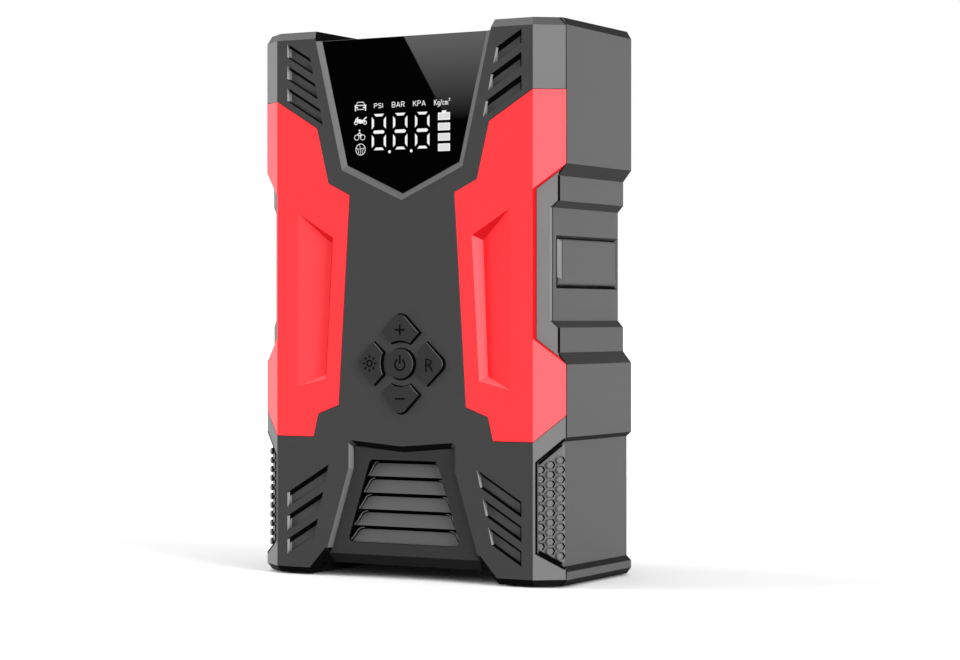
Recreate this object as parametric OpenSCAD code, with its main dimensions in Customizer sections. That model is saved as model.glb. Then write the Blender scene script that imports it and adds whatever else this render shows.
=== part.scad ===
// Hand-held jump starter pack with a built-in tyre inflator.
// Origin at the middle of the footprint on the ground, +Z up, -Y the control face.

/* [Body] */
// Width of the casing
body_w = 115; // [110:1:140]
// Depth of the casing, front to back
body_d = 58; // [56:1:70]
// Height of the casing above the ground
body_h = 182; // [172:1:220]
// Thickness of the moulded walls
wall = 2.2; // [1.8:0.1:2.7]
// Width of the slanted front corners, seen from the front
corner_w = 8.6; // [7:0.1:10]
// Depth of the slanted front corners, which is also the depth of the front shell
corner_d = 6.6; // [6:0.1:8]
// Width of the slanted rear corners, seen from the back
rear_corner_w = 6; // [4:0.1:7]
// Depth of the slanted rear corners
rear_corner_d = 4.4; // [3:0.1:5]
// How far the bevel round the top and the bottom goes in
rim_in = 1.6; // [0.8:0.1:2]
// Height of the bevel round the top and the bottom
rim_h = 2.6; // [1.5:0.1:3]

/* [Grip waist] */
// Height of the middle of the waist
waist_z = 103.3; // [100:0.5:110]
// Half height of the whole waist
waist_half = 32.1; // [30:0.1:34]
// Depth of the first step of the waist
waist_step = 3; // [1:0.1:4]
// Half height of the inner grip
grip_half = 20.3; // [18:0.1:22]
// Further depth of the inner grip
grip_step = 2; // [1:0.1:2.5]
// Depth of the corner relief beside the red panels, from front to back
relief_d = 2.1; // [1:0.1:2.5]

/* [Skirt] */
// How far the sides and the corner grips step in above the base
skirt_in = 1.7; // [1:0.1:2.2]
// Height where the side step ends
skirt_top = 46.5; // [40:0.5:50]
// Height of the base lip
lip_h = 5; // [4:0.5:6]
// Height of the arch between the feet
arch_h = 4.5; // [2:0.5:6]

/* [Red panels] */
// Height of the bottom of the red panels
red_bottom = 46.5; // [44:0.5:50]
// Drop from the casing top to the top of the red panels
red_drop = 23.1; // [20:0.1:26]
// Thickness of the red panels
red_t = 1.4; // [1.2:0.1:1.6]
// Gap round the red panels
red_gap = 0.15; // [0.1:0.05:0.3]
// How far the thumb hollow sinks at its inner side, for each mm of its width
hollow_slope = 0.28; // [0.1:0.01:0.3]

/* [Display] */
// Half width of the lens at its top
lens_half_top = 31.5; // [28:0.5:33]
// Half width of the lens at its lower corners
lens_half_low = 21.45; // [18:0.5:23]
// Drop from the casing top to the lower corners of the lens
lens_corner_drop = 45.4; // [43:0.2:47]
// Drop from the casing top to the lowest point of the lens
lens_point_drop = 55.2; // [53:0.2:57]
// Thickness of the lens
lens_t = 1.6; // [1:0.1:1.8]
// Width of the bevel round the lens
lens_bevel_w = 1.9; // [1:0.1:2.2]
// How far the lens sits below the front face
lens_sunk = 1; // [0.6:0.1:1.2]
// Depth of the step between the shoulders
well_d = 3.5; // [2:0.1:5]

/* [Keys] */
// Height of the middle of the key cross
keys_z = 71.1; // [70:0.1:73]
// Radius of the power key
power_r = 4.9; // [4:0.1:5.2]
// Half width of each outer key
key_half = 7.05; // [6.5:0.05:7.3]
// Distance from the middle of the cross to the sharp tip of an outer key
key_reach = 17.2; // [16.5:0.1:18]
// Gap all round a key
key_gap = 0.3; // [0.2:0.05:0.4]
// Travel of a key
key_travel = 0.6; // [0.3:0.1:0.8]

/* [Louvre] */
// Half width of the louvre opening at the top
louvre_top_half = 12.9; // [10:0.1:15]
// Half width of the louvre opening at the bottom
louvre_low_half = 21.6; // [18:0.1:23]
// Height of the bottom of the louvre opening
louvre_low = 11.8; // [10.5:0.1:14]
// Height of the top of the louvre opening
louvre_high = 39.3; // [34:0.1:41]
// Number of slats
slat_count = 5; // [4:1:6]
// Depth of the panel that the louvre sits in
louvre_recess = 1.3; // [0.8:0.1:1.5]

/* [Power parts] */
// Number of battery cells
cell_count = 3; // [2:1:3]
// Width of a battery cell
cell_w = 58; // [50:1:60]
// Thickness of a battery cell
cell_t = 8; // [6:0.1:8.2]
// Thickness of the circuit boards
board_t = 1.6; // [1:0.2:2]
// Length of the port covers
cover_l = 41.5; // [38:0.1:42]
// Height of the port covers
cover_h = 15; // [14:0.1:17]
// Radius of the cover hinge pins
pin_r = 0.6; // [0.5:0.05:0.7]

/* [Inflator] */
// Radius of the motor can
motor_r = 12.6; // [11:0.1:13]
// Length of the motor can
motor_l = 34; // [28:1:36]
// Gear module
gear_m = 0.6; // [0.5:0.05:0.6]
// Teeth on the motor pinion
pinion_teeth = 12; // [11:1:14]
// Teeth on the crank gear
gear_teeth = 48; // [44:1:48]
// Throw of the crank pin
crank_throw = 2.5; // [2:0.1:3]
// Radius of the cylinder bore
bore_r = 9.6; // [8:0.1:10]
// Radius of the bore of the air outlet
outlet_r = 3.5; // [3:0.1:4]

/* [Hidden] */
$fn = 48;

eps = 0.01;
slip = 0.05;
seat = 0.2;
grey = "#4a4a4a";
dark = "#333333";
red = "#ff3d43";

// Main planes
half_w = body_w / 2;
face_half = half_w - corner_w;
y_front = -body_d / 2;
y_part = y_front + corner_d;
y_rear = body_d / 2;
y_in_front = y_front + wall;
y_in_rear = y_rear - wall;
shell_z0 = 0.5;
well_z = body_h - well_d;
well_half = lens_half_top + lens_bevel_w;
ceiling_z = well_z - wall;
step_half = half_w - waist_step;
grip_x = step_half - grip_step;
grip_in = grip_x - wall;
flank = 3.8;
grip_flank = 2.2;
foot_half = 32.5;
rake = (lens_half_top - lens_half_low) / (lens_corner_drop - well_d);

function reversed(list) = [for (i = [len(list) - 1 : -1 : 0]) list[i]];
function flipped(points) = [for (p = points) [-p[0], p[1]]];
function symmetric(right) = concat(right, [for (p = reversed(flipped(right))) if (p[0] < -eps) p]);
function circle_at(c, r, a0, a1, n) =
    [for (i = [0 : n]) let (a = a0 + (a1 - a0) * i / n) [c[0] + r * cos(a), c[1] + r * sin(a)]];

// Right half of the casing seen from the front, from the arch to the step between the shoulders
function casing_half(skirt) = [
    [foot_half, arch_h], [foot_half + 3.4, shell_z0], [half_w - rim_in, shell_z0],
    [half_w, shell_z0 + rim_h - 0.5], [half_w, lip_h], [half_w - skirt, lip_h + 1.6],
    [half_w - skirt, skirt_top], [half_w, skirt_top + 1.5],
    [half_w, waist_z - waist_half], [step_half, waist_z - waist_half + flank],
    [step_half, waist_z - grip_half], [grip_x, waist_z - grip_half + grip_flank],
    [grip_x, waist_z + grip_half - grip_flank], [step_half, waist_z + grip_half],
    [step_half, waist_z + waist_half - flank], [half_w, waist_z + waist_half],
    [half_w, body_h - rim_h], [half_w - rim_in, body_h],
    [well_half + rake * well_d, body_h], [well_half, well_z]];

// Right red panel seen from the front
red_top = body_h - red_drop;
lens_low_z = body_h - lens_point_drop;
relief_half = waist_half - corner_w + 0.4;
red_outline = [
    [half_w, red_top], [face_half, red_top], [33, red_top - 9.5], [28.4, body_h - 51.2],
    [20.1, lens_low_z], [24.4, red_bottom + 10.7], [32.5, red_bottom + 7.7],
    [34.4, red_bottom], [face_half, red_bottom], [half_w, red_bottom + corner_w],
    [half_w, waist_z - waist_half], [face_half, waist_z - relief_half],
    [face_half, waist_z + relief_half], [half_w, waist_z + waist_half]];

// Lens seen from the front
lens_corner_z = body_h - lens_corner_drop;
function lens_shape(top) = symmetric([[0, lens_low_z], [lens_half_low, lens_corner_z],
    [lens_half_top + rake * (top - well_z), top]]);
function lens_rim(top) = symmetric([[0, lens_low_z - 2.1],
    [lens_half_low + lens_bevel_w - 0.25, lens_corner_z - 1.5], [well_half + rake * (top - well_z), top]]);
lens_window = symmetric([[0, lens_low_z + 4], [lens_half_low - 2.5, lens_corner_z + 1.5],
    [lens_half_low + 1.5, body_h - 11]]);

// Extrudes an outline given as [x, z] from y0 to y1
module front_prism(points, y0, y1) {
    translate([0, y1, 0])
        rotate([90, 0, 0])
            linear_extrude(y1 - y0)
                polygon(points);
}

// Extrudes an outline given as [y, z] from x0 to x1
module side_prism(points, x0, x1) {
    translate([x0, 0, 0])
        rotate([90, 0, 90])
            linear_extrude(x1 - x0)
                polygon(points);
}

// Extrudes an outline given as [x, y] from z0 to z1
module top_prism(points, z0, z1) {
    translate([0, 0, z0])
        linear_extrude(z1 - z0)
            polygon(points);
}

// A box from its lowest corner to its highest
module box(low, high) {
    translate(low)
        cube(high - low);
}

// A solid between two outlines of [x, z] that run anticlockwise, the first at y0, the second at y1
module tapered(first, y0, second, y1) {
    n = len(first);
    points = concat([for (p = first) [p[0], y0, p[1]]], [for (p = second) [p[0], y1, p[1]]]);
    sides = [for (i = [0 : n - 1]) [i, (i + 1) % n, n + (i + 1) % n, n + i]];
    polyhedron(points, concat([reversed([for (i = [0 : n - 1]) i])], sides,
        [[for (i = [0 : n - 1]) n + i]]));
}

// The same along X: outlines of [y, z], the first at x0 and the second at x1
module tapered_x(first, x0, second, x1) {
    rotate([0, 0, 90])
        tapered(second, -x1, first, -x0);
}

module rod_x(r, x0, x1, y, z) {
    translate([x0, y, z])
        rotate([0, 90, 0])
            cylinder(r = r, h = x1 - x0);
}

module rod_y(r, x, y0, y1, z) {
    translate([x, y0, z])
        rotate([-90, 0, 0])
            cylinder(r = r, h = y1 - y0);
}

module rod_z(r, x, y, z0, z1) {
    translate([x, y, z0])
        cylinder(r = r, h = z1 - z0);
}

module on_both_sides() {
    children();
    mirror([1, 0, 0])
        children();
}

// Tube of radius r along a path that is never parallel to the side vector
function unit(v) = v / norm(v);
module tube(path, r, sides, side) {
    n = len(path);
    rings = [for (i = [0 : n - 1])
        let (t = unit(path[min(i + 1, n - 1)] - path[max(i - 1, 0)]))
        let (a = unit(cross(side, t)))
        let (b = cross(t, a))
        for (k = [0 : sides - 1])
            path[i] + r * (cos(360 * k / sides) * a + sin(360 * k / sides) * b)];
    walls = [for (i = [0 : n - 2]) for (k = [0 : sides - 1])
        [i * sides + (k + 1) % sides, i * sides + k,
         (i + 1) * sides + k, (i + 1) * sides + (k + 1) % sides]];
    polyhedron(rings, concat(walls, [[for (k = [0 : sides - 1]) k]],
        [reversed([for (k = [0 : sides - 1]) (n - 1) * sides + k])]));
}

// Rounds the corners of a path: a curve of n steps round each inner corner
function smooth(p, n) = let (last = len(p) - 1) concat([p[0]],
    [for (i = [1 : last - 1])
        let (a = (p[i - 1] + p[i]) / 2, c = (p[i] + p[i + 1]) / 2)
        for (k = [0 : (i == last - 1 ? n : n - 1)])
            let (s = k / n) (1 - s) * (1 - s) * a + 2 * s * (1 - s) * p[i] + s * s * c],
    [p[last]]);

// ---- Casing ----

vent_slope = 0.6;
vent_outer = half_w - 12.7;
upper_vents = [for (i = [0 : 2]) let (drop = 7.35 * i) [35.6 - 1.92 * i, body_h - 3.7 - drop, 4.6]];
lower_vents = [for (i = [0 : 2]) [28.4 + 2.1 * i, 27.4 - 7.85 * i, 5]];
function vent_up(v) = let (rise = vent_slope * (vent_outer - v[0])) [
    [vent_outer, v[1]], [v[0], v[1] - rise],
    [v[0] - 1.1, v[1] - rise - v[2] - 0.65], [vent_outer, v[1] - v[2]]];
function vent_down(v) = let (rise = vent_slope * (vent_outer - v[0])) [
    [vent_outer, v[1]], [v[0], v[1] + rise],
    [v[0] + 1.3, v[1] + rise - v[2] - 0.8], [vent_outer, v[1] - v[2]]];
vent_deep = 1.5;
vent_slot_h = 1;
// Slot along the upper edge of a vent, which rises outwards or inwards (lean -1 or 1)
function vent_slot(v, lean) = let (out = [vent_outer - 0.3, v[1] - 0.3 + lean * vent_slope * 0.3],
    in = [v[0] + 0.6, out[1] + lean * vent_slope * (out[0] - v[0] - 0.6)])
    [out, in, in - [0, vent_slot_h], out - [0, vent_slot_h]];

boss_r = 3.4;
tube_r = 4.6;
head_r = 3;
screw_r = 1.4;
case_screw_at = [[46.5, body_h - 13], [-46.5, body_h - 13], [46.5, 59], [-46.5, 59]];
boss_y = y_part + 3;
screw_seat_y = boss_y + 2.4;

// Corner relief beside each red panel, cut from the front shell
module waist_relief() {
    y0 = y_front + relief_d;
    intersection() {
        front_prism([[face_half, waist_z - relief_half], [face_half, waist_z + relief_half],
            [half_w + 1, waist_z + waist_half + 1], [half_w + 1, waist_z - waist_half - 1]],
            y_front - 1, y_part + 5);
        top_prism([[face_half, y_front - 1], [face_half, y0],
            [half_w, y0 + corner_d], [half_w + 2, y0 + corner_d], [half_w + 2, y_front - 1]],
            0, body_h);
    }
}

// Sunk panel round the louvre, open towards the base; m moves the outline in
function louvre_panel(m) = symmetric([[30.6 - m, lip_h + 1.5], [28.8 - m, lip_h + 4.6],
    [20.5 - m, 36.4 - m * 0.2], [20.5 - m, 44.6 - m * 1.1], [19.4 - m, 45.6 - m * 1.3], [0, 44 - m * 1.3]]);
louvre_r = 1.6;
function louvre_hole(m) = let (a = atan2(louvre_low_half - louvre_top_half, louvre_high - louvre_low),
    low = [louvre_low_half - louvre_r / tan(45 - a / 2), louvre_low + louvre_r],
    top = [louvre_top_half - louvre_r / tan(45 + a / 2), louvre_high - louvre_r])
    symmetric(concat(circle_at(low, louvre_r - m, -90, a, 5), circle_at(top, louvre_r - m, a, 90, 4)));
module louvre_recess_cut() {
    tapered(louvre_panel(0), y_front - eps, louvre_panel(1.2), y_front + louvre_recess);
}

// Outer key: a square standing on its corner, its tip rounded and its inner corner cut by a circle
key_mid = key_reach - key_half;
key_arc_r = power_r + 2.7;
function key_outline(gap) = let (h = key_half + gap * sqrt(2), ra = key_arc_r - gap, r = 2.6,
    c = key_mid - h, y = (sqrt(2 * ra * ra - c * c) - c) / 2, a = atan2(y, y + c))
    concat(circle_at([key_mid + h - r * sqrt(2), 0], r, -45, 45, 6), [[key_mid, h]],
        circle_at([0, 0], ra, a, -a, 6), [[key_mid, -h]]);

module key_prism(turn, gap, y0, y1) {
    translate([0, y1, keys_z])
        rotate([90, 0, 0])
            rotate(turn)
                linear_extrude(y1 - y0)
                    polygon(key_outline(gap));
}

corner_turn = atan2(corner_d, corner_w);
corner_l = norm([corner_w, corner_d]);
groove_w = 1.15;
grip_pad_t = 1.2;
grip_edge = corner_l + 1.2;

// Turns children so that x runs outwards along the right front corner and y into the casing
module on_corner() {
    translate([face_half, y_front, 0])
        rotate([0, 0, corner_turn])
            children();
}
function grip_outline(m) = [[grip_edge, lip_h + 0.4 + 1.13 * m], [grip_edge, skirt_top + 2 - 1.29 * m],
    [1.4 + m, skirt_top - 6.6 - 0.47 * m], [1.4 + m, lip_h + 6.1 + 0.6 * m]];

// Bevels that carry the upper and lower rims round the slanted corner
module corner_rims() {
    for (rim = [[body_h, rim_h, 1], [shell_z0, rim_h - 0.5, -1]]) {
        low = rim[0] - rim[2] * rim[1];
        slope = rim[2] * rim[1] / rim_in;
        triangle = [[-1, low - slope], [rim_in + 1, rim[0] + slope], [-1, rim[0] + slope]];
        on_corner()
            side_prism(rim[2] > 0 ? triangle : reversed(triangle), -4, corner_l + 4);
    }
}

// Space for a corner grip: a slanted border and the seat of the pad, which reaches over the seam
module grip_pocket() {
    on_corner() {
        tapered(grip_outline(0), -eps, grip_outline(groove_w), skirt_in);
        front_prism(grip_outline(groove_w), -1, skirt_in + grip_pad_t);
    }
}

module corner_grip() {
    intersection() {
        on_corner()
            front_prism(grip_outline(groove_w + 0.05), skirt_in, skirt_in + grip_pad_t);
        box([0, y_front, 0], [half_w - skirt_in, y_part + 5, body_h]);
    }
}

cover_x0 = grip_x - 2;
pivot_r = 1.5;
pivot_x = grip_x - pivot_r;
cover_gap = 0.3;
cover_bevel = 0.7;
cover_lead = 2.3;
pin_seat = 1.2;
cover_y = [y_rear - 5.8 - cover_l, y_rear - 5.8];
cover_z = [waist_z - 6.7, waist_z - 6.7 + cover_h];
pivot_z = cover_z[0] + pivot_r;
function rectangle(y, z, m) = [[y[0] - m, z[0] - m], [y[1] + m, z[0] - m],
    [y[1] + m, z[1] + m], [y[0] - m, z[1] + m]];

module front_shell() {
    outline = symmetric([[face_half, y_front], [half_w, y_part]]);
    profile = symmetric(casing_half(0));
    rim_side = [[y_front, shell_z0 + rim_h - 0.5], [y_front, body_h - rim_h],
        [y_front + rim_in, body_h], [y_part, body_h], [y_part, shell_z0],
        [y_front + rim_in, shell_z0]];
    color(grey)
    difference() {
        union() {
            difference() {
                intersection() {
                    top_prism(outline, 0, body_h);
                    front_prism(profile, y_front, y_part);
                    side_prism(rim_side, -half_w, half_w);
                }
                front_cavities();
            }
            front_bosses();
        }
        on_both_sides() {
            waist_relief();
            red_pocket();
            grip_pocket();
            corner_rims();
            for (v = upper_vents) {
                front_prism(vent_up(v), y_front - 1, y_front + vent_deep);
                front_prism(vent_slot(v, -1), y_front, y_part + 1);
            }
            for (v = lower_vents) {
                front_prism(vent_down(v), y_front - 1, y_front + vent_deep);
                front_prism(vent_slot(v, 1), y_front, y_part + 1);
            }
        }
        tapered(lens_rim(body_h), y_front - eps, lens_shape(body_h), y_front + lens_sunk);
        front_prism(lens_shape(body_h), y_front, y_front + lens_sunk + lens_t);
        front_prism(lens_window, y_front, y_part + 1);
        louvre_recess_cut();
        front_prism(louvre_hole(0), y_front, y_part + 1);
        arch_bevel();
        rod_y(power_r + key_gap, 0, y_front - 1, y_part, keys_z);
        for (turn = [0 : 90 : 270])
            key_prism(turn, key_gap, y_front - 1, y_part);
        for (p = case_screw_at)
            rod_y(screw_r - 0.1, p[0], y_part - 3.2, boss_y + 1, p[1]);
        for (p = board_posts)
            rod_y(1.05, p[0], p[2] - 3.5, p[2] + 1, p[1]);
    }
}

// Space behind the front wall, full width above and below the waist and narrower in it
lens_frame_y = y_front + lens_sunk + lens_t + 1.2;
module front_cavities() {
    narrow = face_half - wall - 0.3;
    waist_low = waist_z - waist_half - 2;
    waist_high = waist_z + waist_half + 2;
    split = lens_low_z - 2.5;
    box([-narrow, y_in_front, arch_h + 5.5], [narrow, y_part + eps, split]);
    box([-narrow, lens_frame_y, split - 1], [narrow, y_part + eps, ceiling_z]);
    for (room = [[y_in_front, skirt_top + 3.5, waist_low], [lens_frame_y, waist_high, ceiling_z]])
        top_prism(symmetric([[face_half - wall * 0.5 + (room[0] - y_in_front), room[0]],
            [half_w - wall - 1.7, y_part + eps]]), room[1], room[2]);
}

module front_bosses() {
    for (p = case_screw_at)
        rod_y(boss_r, p[0], y_in_front - eps, boss_y, p[1]);
    for (p = board_posts)
        rod_y(2.2, p[0], y_in_front - eps, p[2], p[1]);
}

// Bevel under the recessed panel, leading to the arch and ending in a slanted facet at each foot
module arch_bevel() {
    high = arch_h + 5;
    lean = 0.9;
    tapered(symmetric([[foot_half - 2.8 + high * lean, 0], [foot_half - 2.8, high]]), y_front - eps,
        symmetric([[foot_half - 4.6 + arch_h * lean, 0], [foot_half - 4.6, arch_h]]),
        y_front + louvre_recess + 2.6);
}

// Everything that lies within t of the casing's front and slanted corners
module front_skin(t) {
    corner = [face_half - t * tan(corner_turn / 2), y_front + t];
    far = corner + (corner_l + 2) * [cos(corner_turn), sin(corner_turn)];
    difference() {
        top_prism(symmetric([[face_half, y_front], [half_w, y_part]]), 0, body_h);
        top_prism(symmetric([corner, far]), -1, body_h + 1);
    }
}

module red_pocket() {
    intersection() {
        translate([0, y_part + 1, 0])
            rotate([90, 0, 0])
                linear_extrude(corner_d + 2)
                    offset(delta = red_gap)
                        polygon(red_outline);
        union() {
            front_skin(red_t);
            red_edge(red_gap);
            front_prism(hollow_block(seat), y_front, y_part + 1);
        }
    }
}

// Deeper edge of the red panel along the waist relief; m widens it
red_edge_w = 1.4;
module red_edge(m) {
    in = [face_half - red_edge_w - m, relief_half + red_edge_w * 0.6 + m];
    out = [half_w + 1, waist_half + 1 + red_edge_w * 1.3 + 1.4 * m];
    intersection() {
        front_skin(relief_d);
        front_prism([for (p = [[half_w + 1, -waist_half - 1], [face_half + m, -relief_half],
            [face_half + m, relief_half], [half_w + 1, waist_half + 1], out, in, [in[0], -in[1]],
            [out[0], -out[1]]]) [p[0], waist_z + p[1]]], y_front - 1, y_part + 1);
    }
}

// Thicker block behind the thumb hollow
hollow_x = [26.5, 29.3, 40.3];
hollow_z = [red_bottom + 16.6, red_top - 37.85];
function hollow_block(gap) = [
    [hollow_x[2] + gap, hollow_z[1] + 1 + gap], [hollow_x[0] - 0.3 - gap, hollow_z[1] - 6 + gap],
    [hollow_x[0] + 2 - gap, hollow_z[0] + 1 - gap], [hollow_x[2] + gap, hollow_z[0] + 1 - gap]];

module thumb_hollow() {
    a = [hollow_x[2], y_front, hollow_z[1]];
    b = [hollow_x[2], y_front, hollow_z[0]];
    c = [hollow_x[1], y_front, hollow_z[0] + 2.6];
    d = [hollow_x[0], y_front, hollow_z[1] - 8.3];
    e = [c[0] + 1.8, y_front + hollow_slope * (a[0] - c[0] - 1.8), c[2] + 1.5];
    f = [d[0] + 2.5, y_front + hollow_slope * (a[0] - d[0] - 2.5), d[2] - 1.6];
    lift = [0, -1, 0];
    polyhedron([a + lift, b + lift, c + lift, d + lift, a, b, c, d, e, f],
        [[0, 1, 2, 3], [0, 4, 5, 1], [1, 5, 6, 2], [2, 6, 7, 3], [3, 7, 4, 0],
         [4, 9, 8, 5], [5, 8, 6], [8, 9, 7], [8, 7, 6], [4, 7, 9]]);
}

module red_panel() {
    color(red)
    difference() {
        intersection() {
            front_prism(red_outline, y_front - 1, y_part + 1);
            union() {
                front_skin(red_t);
                red_edge(0);
                front_prism(hollow_block(0), y_front, y_front + 4.7);
            }
        }
        thumb_hollow();
    }
}

module display_lens() {
    color("#050505")
        front_prism(lens_shape(well_z), y_front + lens_sunk, y_front + lens_sunk + lens_t);
}

// ---- Rear shell ----

rear_profile = casing_half(skirt_in);

module rear_body() {
    levels = [for (p = rear_profile) if (p[0] > foot_half + 4) p];
    n = len(levels);
    ring = 6;
    points = [for (p = levels) each [
        [p[0], y_part, p[1]], [p[0], y_rear - rear_corner_d, p[1]],
        [p[0] - rear_corner_w, y_rear, p[1]], [-p[0] + rear_corner_w, y_rear, p[1]],
        [-p[0], y_rear - rear_corner_d, p[1]], [-p[0], y_part, p[1]]]];
    walls = [for (i = [0 : n - 2]) for (k = [0 : ring - 1])
        [i * ring + k, i * ring + (k + 1) % ring,
         (i + 1) * ring + (k + 1) % ring, (i + 1) * ring + k]];
    faces = concat([for (w = walls) reversed(w)], [[for (k = [0 : ring - 1]) k]],
        [reversed([for (k = [0 : ring - 1]) (n - 1) * ring + k])]);
    intersection() {
        polyhedron(points, faces);
        front_prism(symmetric([[foot_half, arch_h], [foot_half + 3.4, shell_z0],
            [half_w + 1, shell_z0], [half_w + 1, body_h], [well_half + rake * well_d, body_h],
            [well_half, well_z]]), y_part, y_rear);
        side_prism([[y_part, shell_z0], [y_part, body_h], [y_rear - rim_in, body_h],
            [y_rear, body_h - rim_h], [y_rear, shell_z0 + rim_h - 0.5],
            [y_rear - rim_in, shell_z0]], -half_w, half_w);
    }
}

// Half widths and heights of the boxes that hollow the rear shell
rear_rooms = [
    [half_w - skirt_in - wall, arch_h + wall, skirt_top - 1],
    [half_w - wall, skirt_top + wall, waist_z - waist_half],
    [grip_in, skirt_top - 2, waist_z + waist_half + 2],
    [half_w - wall - 0.4, waist_z + waist_half + 1, ceiling_z]];

module rear_shell() {
    color("#3f3f3f")
    difference() {
        union() {
            difference() {
                rear_body();
                for (r = rear_rooms)
                    top_prism(symmetric([[r[0], y_part - 1], [r[0], y_in_rear - rear_corner_d * 0.76],
                        [r[0] - rear_corner_w * 0.76, y_in_rear]]), r[1], r[2]);
            }
            rear_bosses();
            on_both_sides()
                cover_frame();
        }
        for (p = case_screw_at) {
            rod_y(head_r + 0.3, p[0], screw_seat_y, y_rear + 1, p[1]);
            rod_y(screw_r + 0.2, p[0], boss_y - 1, y_rear, p[1]);
        }
        for (p = bracket_screw_at)
            rod_y(1.1, p[0], bracket_back_y - 1, y_rear - 1, p[1]);
        for (p = frame_screw_at)
            rod_y(1.1, p[0], flange_y - 1, y_rear - 1, p[1]);
        on_both_sides() {
            seam_notch();
            cover_opening();
            grip_pocket();
            corner_rims();
        }
        for (p = foot_at)
            rod_z(foot_r + 0.1, p[0], p[1], 0, foot_t);
        rod_z(outlet_body_r + slip, outlet_at[0], outlet_at[1], ceiling_z - 9, body_h);
        rod_z(outlet_flange_r + 0.1, outlet_at[0], outlet_at[1], well_z - 1.5, body_h);
        lamp_box(0.15, well_z - lamp_t, body_h);
        lamp_box(-1, ceiling_z - 1, body_h);
    }
}

module rear_bosses() {
    for (p = case_screw_at)
        rod_y(tube_r, p[0], boss_y, y_in_rear + eps, p[1]);
    for (p = bracket_screw_at)
        rod_y(3, p[0], bracket_back_y, y_in_rear + eps, p[1]);
    for (p = frame_screw_at)
        rod_y(3.2, p[0], flange_y, y_in_rear + eps, p[1]);
}

// Dark gap beside the seam at the two outer steps of the waist
module seam_notch() {
    for (s = [-1, 1]) {
        low = waist_z + s * (grip_half + waist_half - flank) / 2;
        half = (waist_half - flank - grip_half) / 2;
        box([step_half - 1.5, y_part - 1, low - half], [half_w, y_part + 1.4, low + half]);
    }
}

// Shelves inside the wall that carry the socket block, and bosses for the ends of the hinge pin
module cover_frame() {
    x0 = socket_x[0] + 4;
    x1 = pivot_x - pivot_r - 0.5;
    low = socket_z[0] - slip;
    high = socket_z[1] + slip;
    foot = cover_z[0] - cover_bevel - 0.5;
    front_prism([[x0, foot - 1.7], [grip_in + 0.5, foot - 1.7], [grip_in + 0.5, foot], [x1, foot],
        [x1, low], [x0, low]], socket_y[0], socket_y[1]);
    front_prism([[x0, high], [socket_x[1], high], [grip_in + 0.5, cover_z[1] + cover_gap],
        [grip_in + 0.5, cover_z[1] + 2.5], [x0, cover_z[1] + 2.5]], socket_y[0], socket_y[1]);
    intersection() {
        top_prism([[0, y_part], [grip_x - 0.3, y_part], [grip_x - 0.3, y_rear - rear_corner_d],
            [grip_x - 0.3 - rear_corner_w, y_rear], [0, y_rear]], 0, body_h);
        for (y = [cover_y[0] - cover_gap - 3, cover_y[1] + cover_gap])
            box([pivot_x - 2.2, y, pivot_z - 2.2], [grip_x, min(y + 3, y_in_rear + 1), pivot_z + 2.2]);
    }
}

module cover_opening() {
    tapered_x(rectangle(cover_y, cover_z, cover_gap), grip_x - cover_bevel,
        rectangle(cover_y, cover_z, cover_gap + cover_bevel + 0.1), grip_x + 0.1);
    box([pivot_x - pivot_r - 0.3, cover_y[0] - cover_gap, cover_z[0] - cover_gap],
        [grip_x, cover_y[1] + cover_gap, cover_z[1] + cover_gap]);
    rod_y(pin_r + 0.03, pivot_x, cover_y[0] - cover_gap - 2.5, cover_y[1] + cover_gap + pin_seat + 0.1,
        pivot_z);
}

// ---- Small outer parts ----

foot_r = 6;
foot_t = 1.6;
foot_at = [for (x = [-46, 46]) for (y = [-12, 17]) [x, y]];

module foot_pads() {
    color("#1c1c1c")
    for (p = foot_at)
        rod_z(foot_r, p[0], p[1], 0, foot_t);
}

module case_screws() {
    color("#b9bcc0")
    for (p = case_screw_at)
        translate([p[0], screw_seat_y, p[1]])
            rotate([-90, 0, 0])
                difference() {
                    union() {
                        cylinder(r = head_r, h = 2);
                        translate([0, 0, -8])
                            cylinder(r = screw_r - 0.15, h = 8 + eps);
                    }
                    for (a = [0, 90])
                        rotate(a)
                            translate([-1.6, -0.4, 1])
                                cube([3.2, 0.8, 2]);
                }
}

module louvre_grille() {
    g = 0.15;
    y_face = y_front + louvre_recess;
    y_back = y_part + 0.5;
    rim_w = 1;
    outer = louvre_hole(g);
    inner = symmetric([[louvre_low_half - rim_w, louvre_low + rim_w],
        [louvre_top_half - rim_w, louvre_high - rim_w]]);
    pitch = (louvre_high - louvre_low - 0.6) / slat_count;
    color("#5a5a5a")
    union() {
        difference() {
            front_prism(outer, y_face + 2.3, y_back);
            front_prism(inner, y_face, y_back + 1);
        }
        intersection() {
            front_prism(outer, y_face - 1, y_back);
            for (i = [0 : slat_count - 1]) {
                z = louvre_low + 0.3 + i * pitch;
                side_prism([[y_face + 0.1, z - 0.3], [y_face + 1.2, z - 0.3],
                    [y_face + 3.4, z + pitch + 0.6], [y_face + 2.2, z + pitch + 0.6]],
                    -louvre_low_half, louvre_low_half);
            }
        }
        on_both_sides()
            box([louvre_low_half - 6, y_part, louvre_low - 3],
                [louvre_low_half - 2, y_back, louvre_low + 1]);
    }
}

// ---- Keys and front boards ----

key_proud = 0.9;
key_y0 = y_front - key_proud;
flange_t = 1.2;
key_stop_y = y_in_front + seat;
switch_y = key_stop_y + flange_t + 2.4;
key_board_y = y_part + 4.2;
display_board_y = y_part + 3.4;
display_posts = [for (x = [-25.5, 25.5]) for (z = [body_h - 40, body_h - 14]) [x, z, display_board_y]];
key_posts = [for (x = [-15, 15]) for (z = [keys_z - 15, keys_z + 15]) [x, z, key_board_y]];
board_posts = concat(key_posts, display_posts);
stem_at = 11.3;

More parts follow.
